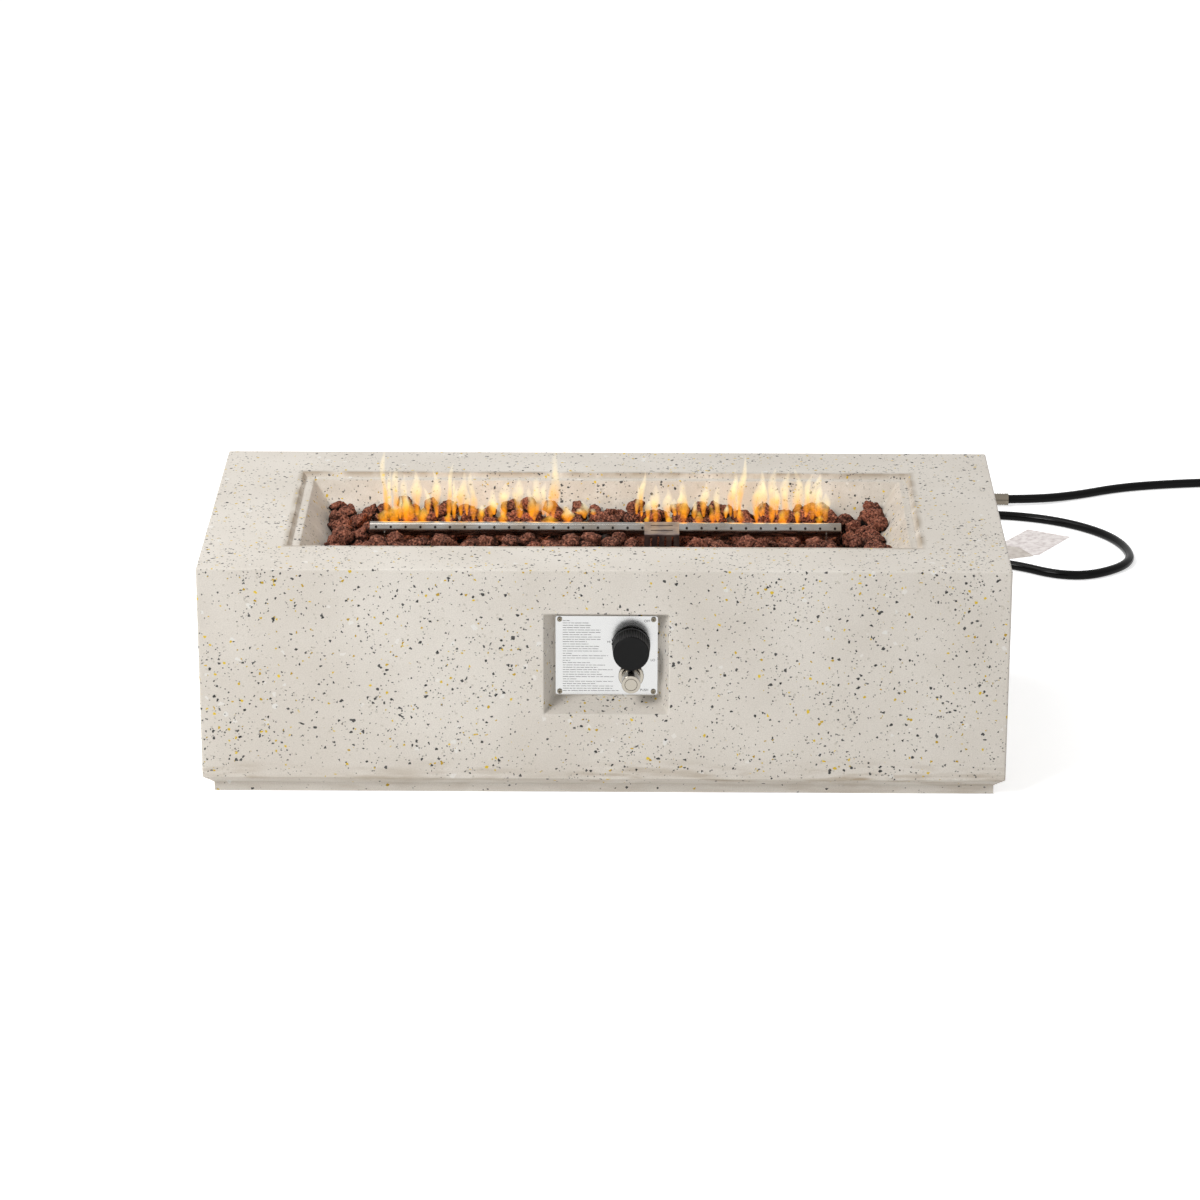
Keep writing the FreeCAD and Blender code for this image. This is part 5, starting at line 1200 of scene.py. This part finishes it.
def build_flames():
    """All the tongues in one mesh, which belongs to the setting."""
    draw = random.Random(FLAME_SEED)
    points = []
    places = []
    faces = []
    tongues = []
    for x, tip, width in FLAMES:
        height = tip - FLAME_TIP_DROP - FLAME_FOOT
        y = FLAME_Y + draw.uniform(-FLAME_SHIFT, FLAME_SHIFT)
        tongues.append((x, y, height, width * FLAME_WIDTH))
        beside = x + draw.choice((-1, 1)) * width * draw.uniform(*BESIDE_AT)
        lower = height * draw.uniform(*BESIDE_HEIGHT)
        tongues.append((beside, FLAME_Y + BESIDE_BACK, lower, width * BESIDE_WIDTH))
    tall_count = len(tongues)
    for x, tip, width in LOW_FLAMES:
        tongues.append((x, LOW_FLAME_Y, tip - FLAME_FOOT, width))
    ribbon = list(grid_faces(FLAME_STEPS + 1, 3))
    for tongue in tongues:
        first = len(points)
        for point, place in ribbon_points(draw, *tongue):
            points.append(Vector(point) * MM)
            places.append(place)
        for start in (first, first + 3 * (FLAME_STEPS + 1)):
            faces += [[start + k for k in face] for face in ribbon]
    mesh = bpy.data.meshes.new("flames")
    mesh.from_pydata(points, [], faces)
    layer = mesh.uv_layers.new(name="flame")
    for loop in mesh.loops:
        layer.data[loop.index].uv = places[loop.vertex_index]
    mesh.materials.append(yellow_flame)
    mesh.materials.append(orange_flame)
    faces_each = len(faces) // len(tongues)
    for number, face in enumerate(mesh.polygons):
        face.material_index = int(number >= tall_count * faces_each)
    made = put("flames", mesh)
    made.visible_shadow = False


build_flames()
print("flames:", len(FLAMES), "tall and", len(LOW_FLAMES), "low")

# %% [markdown]
# The setting is a pale floor that goes over into white. The floor is matt and takes the
# object's shadow. For the camera and for mirrors it also glows a little, so that it
# reads as white without more light on the object.

# %% Floor
FLOOR_HALF = 9.0
FLOOR_GLOW = 0.6


def seen_directly(tree):
    """1 for what the camera sees, also in a mirror or through glass, and 0 for light."""
    path = add(tree, "LightPath")
    mirror = {0: path.outputs["Is Camera Ray"], 1: path.outputs["Is Glossy Ray"]}
    either = add(tree, "Math", mirror, operation="MAXIMUM")
    glass = {0: either, 1: path.outputs["Is Transmission Ray"]}
    return add(tree, "Math", glass, operation="MAXIMUM")


def build_floor():
    # Painted studio board: white and matt, so that nothing but the shadow is seen on it.
    material, tree, surface, _ = new_material("pale_floor", "F4F4F4", 0.9, specular=0.0)
    surface.inputs["Emission Color"].default_value = colour("FFFFFF")
    glow = {0: seen_directly(tree), 1: FLOOR_GLOW}
    strength = add(tree, "Math", glow, operation="MULTIPLY")
    tree.links.new(strength.outputs[0], surface.inputs["Emission Strength"])
    h = FLOOR_HALF
    mesh = bpy.data.meshes.new("floor")
    mesh.from_pydata([(-h, -h, 0), (h, -h, 0), (h, h, 0), (-h, h, 0)], [], [(0, 1, 2, 3)])
    mesh.materials.append(material)
    floor = put("floor", mesh)


build_floor()
print("floor", 2 * FLOOR_HALF, "m wide")

# %% [markdown]
# The light is a soft studio light: a key light high on the left, which shades the left
# walls of the bowl and of the control recess, a weak fill on the right, a light from
# above, and a pale world all round.

# %% World and lamps
WORLD_LIGHT = 0.42
LAMPS = {
    # name: place, size in metres, watts
    "key": ((-2.5, -2.6, 3.1), 1.5, 126),
    "fill": ((2.4, -3.4, 1.6), 1.8, 9),
    "top": ((-1.2, 0.6, 3.2), 2.0, 38),
}
LAMP_TARGET = Vector((0, 0, 0.2))


def build_world():
    world = bpy.data.worlds.new("studio")
    world.use_nodes = True
    bpy.context.scene.world = world
    tree = world.node_tree
    soft = tree.nodes["Background"]
    soft.inputs[0].default_value = colour("FFFFFF")
    soft.inputs[1].default_value = WORLD_LIGHT
    white = add(tree, "Background", {0: colour("FFFFFF"), 1: 1.0})
    mixed = add(tree, "MixShader", {0: seen_directly(tree), 1: soft, 2: white})
    tree.links.new(mixed.outputs[0], tree.nodes["World Output"].inputs[0])


def hang_lamp(name, place, size, watts):
    """A square lamp that is turned to the table."""
    data = bpy.data.lights.new(name, "AREA")
    data.size = size
    data.energy = watts
    lamp = put(name, data)
    lamp.location = place
    aim = LAMP_TARGET - Vector(place)
    lamp.rotation_euler = aim.to_track_quat("-Z", "Y").to_euler()


build_world()
for name, (place, size, watts) in LAMPS.items():
    hang_lamp(name, place, size, watts)
bpy.context.scene.view_settings.view_transform = "Standard"
print("lamps:", ", ".join(LAMPS))
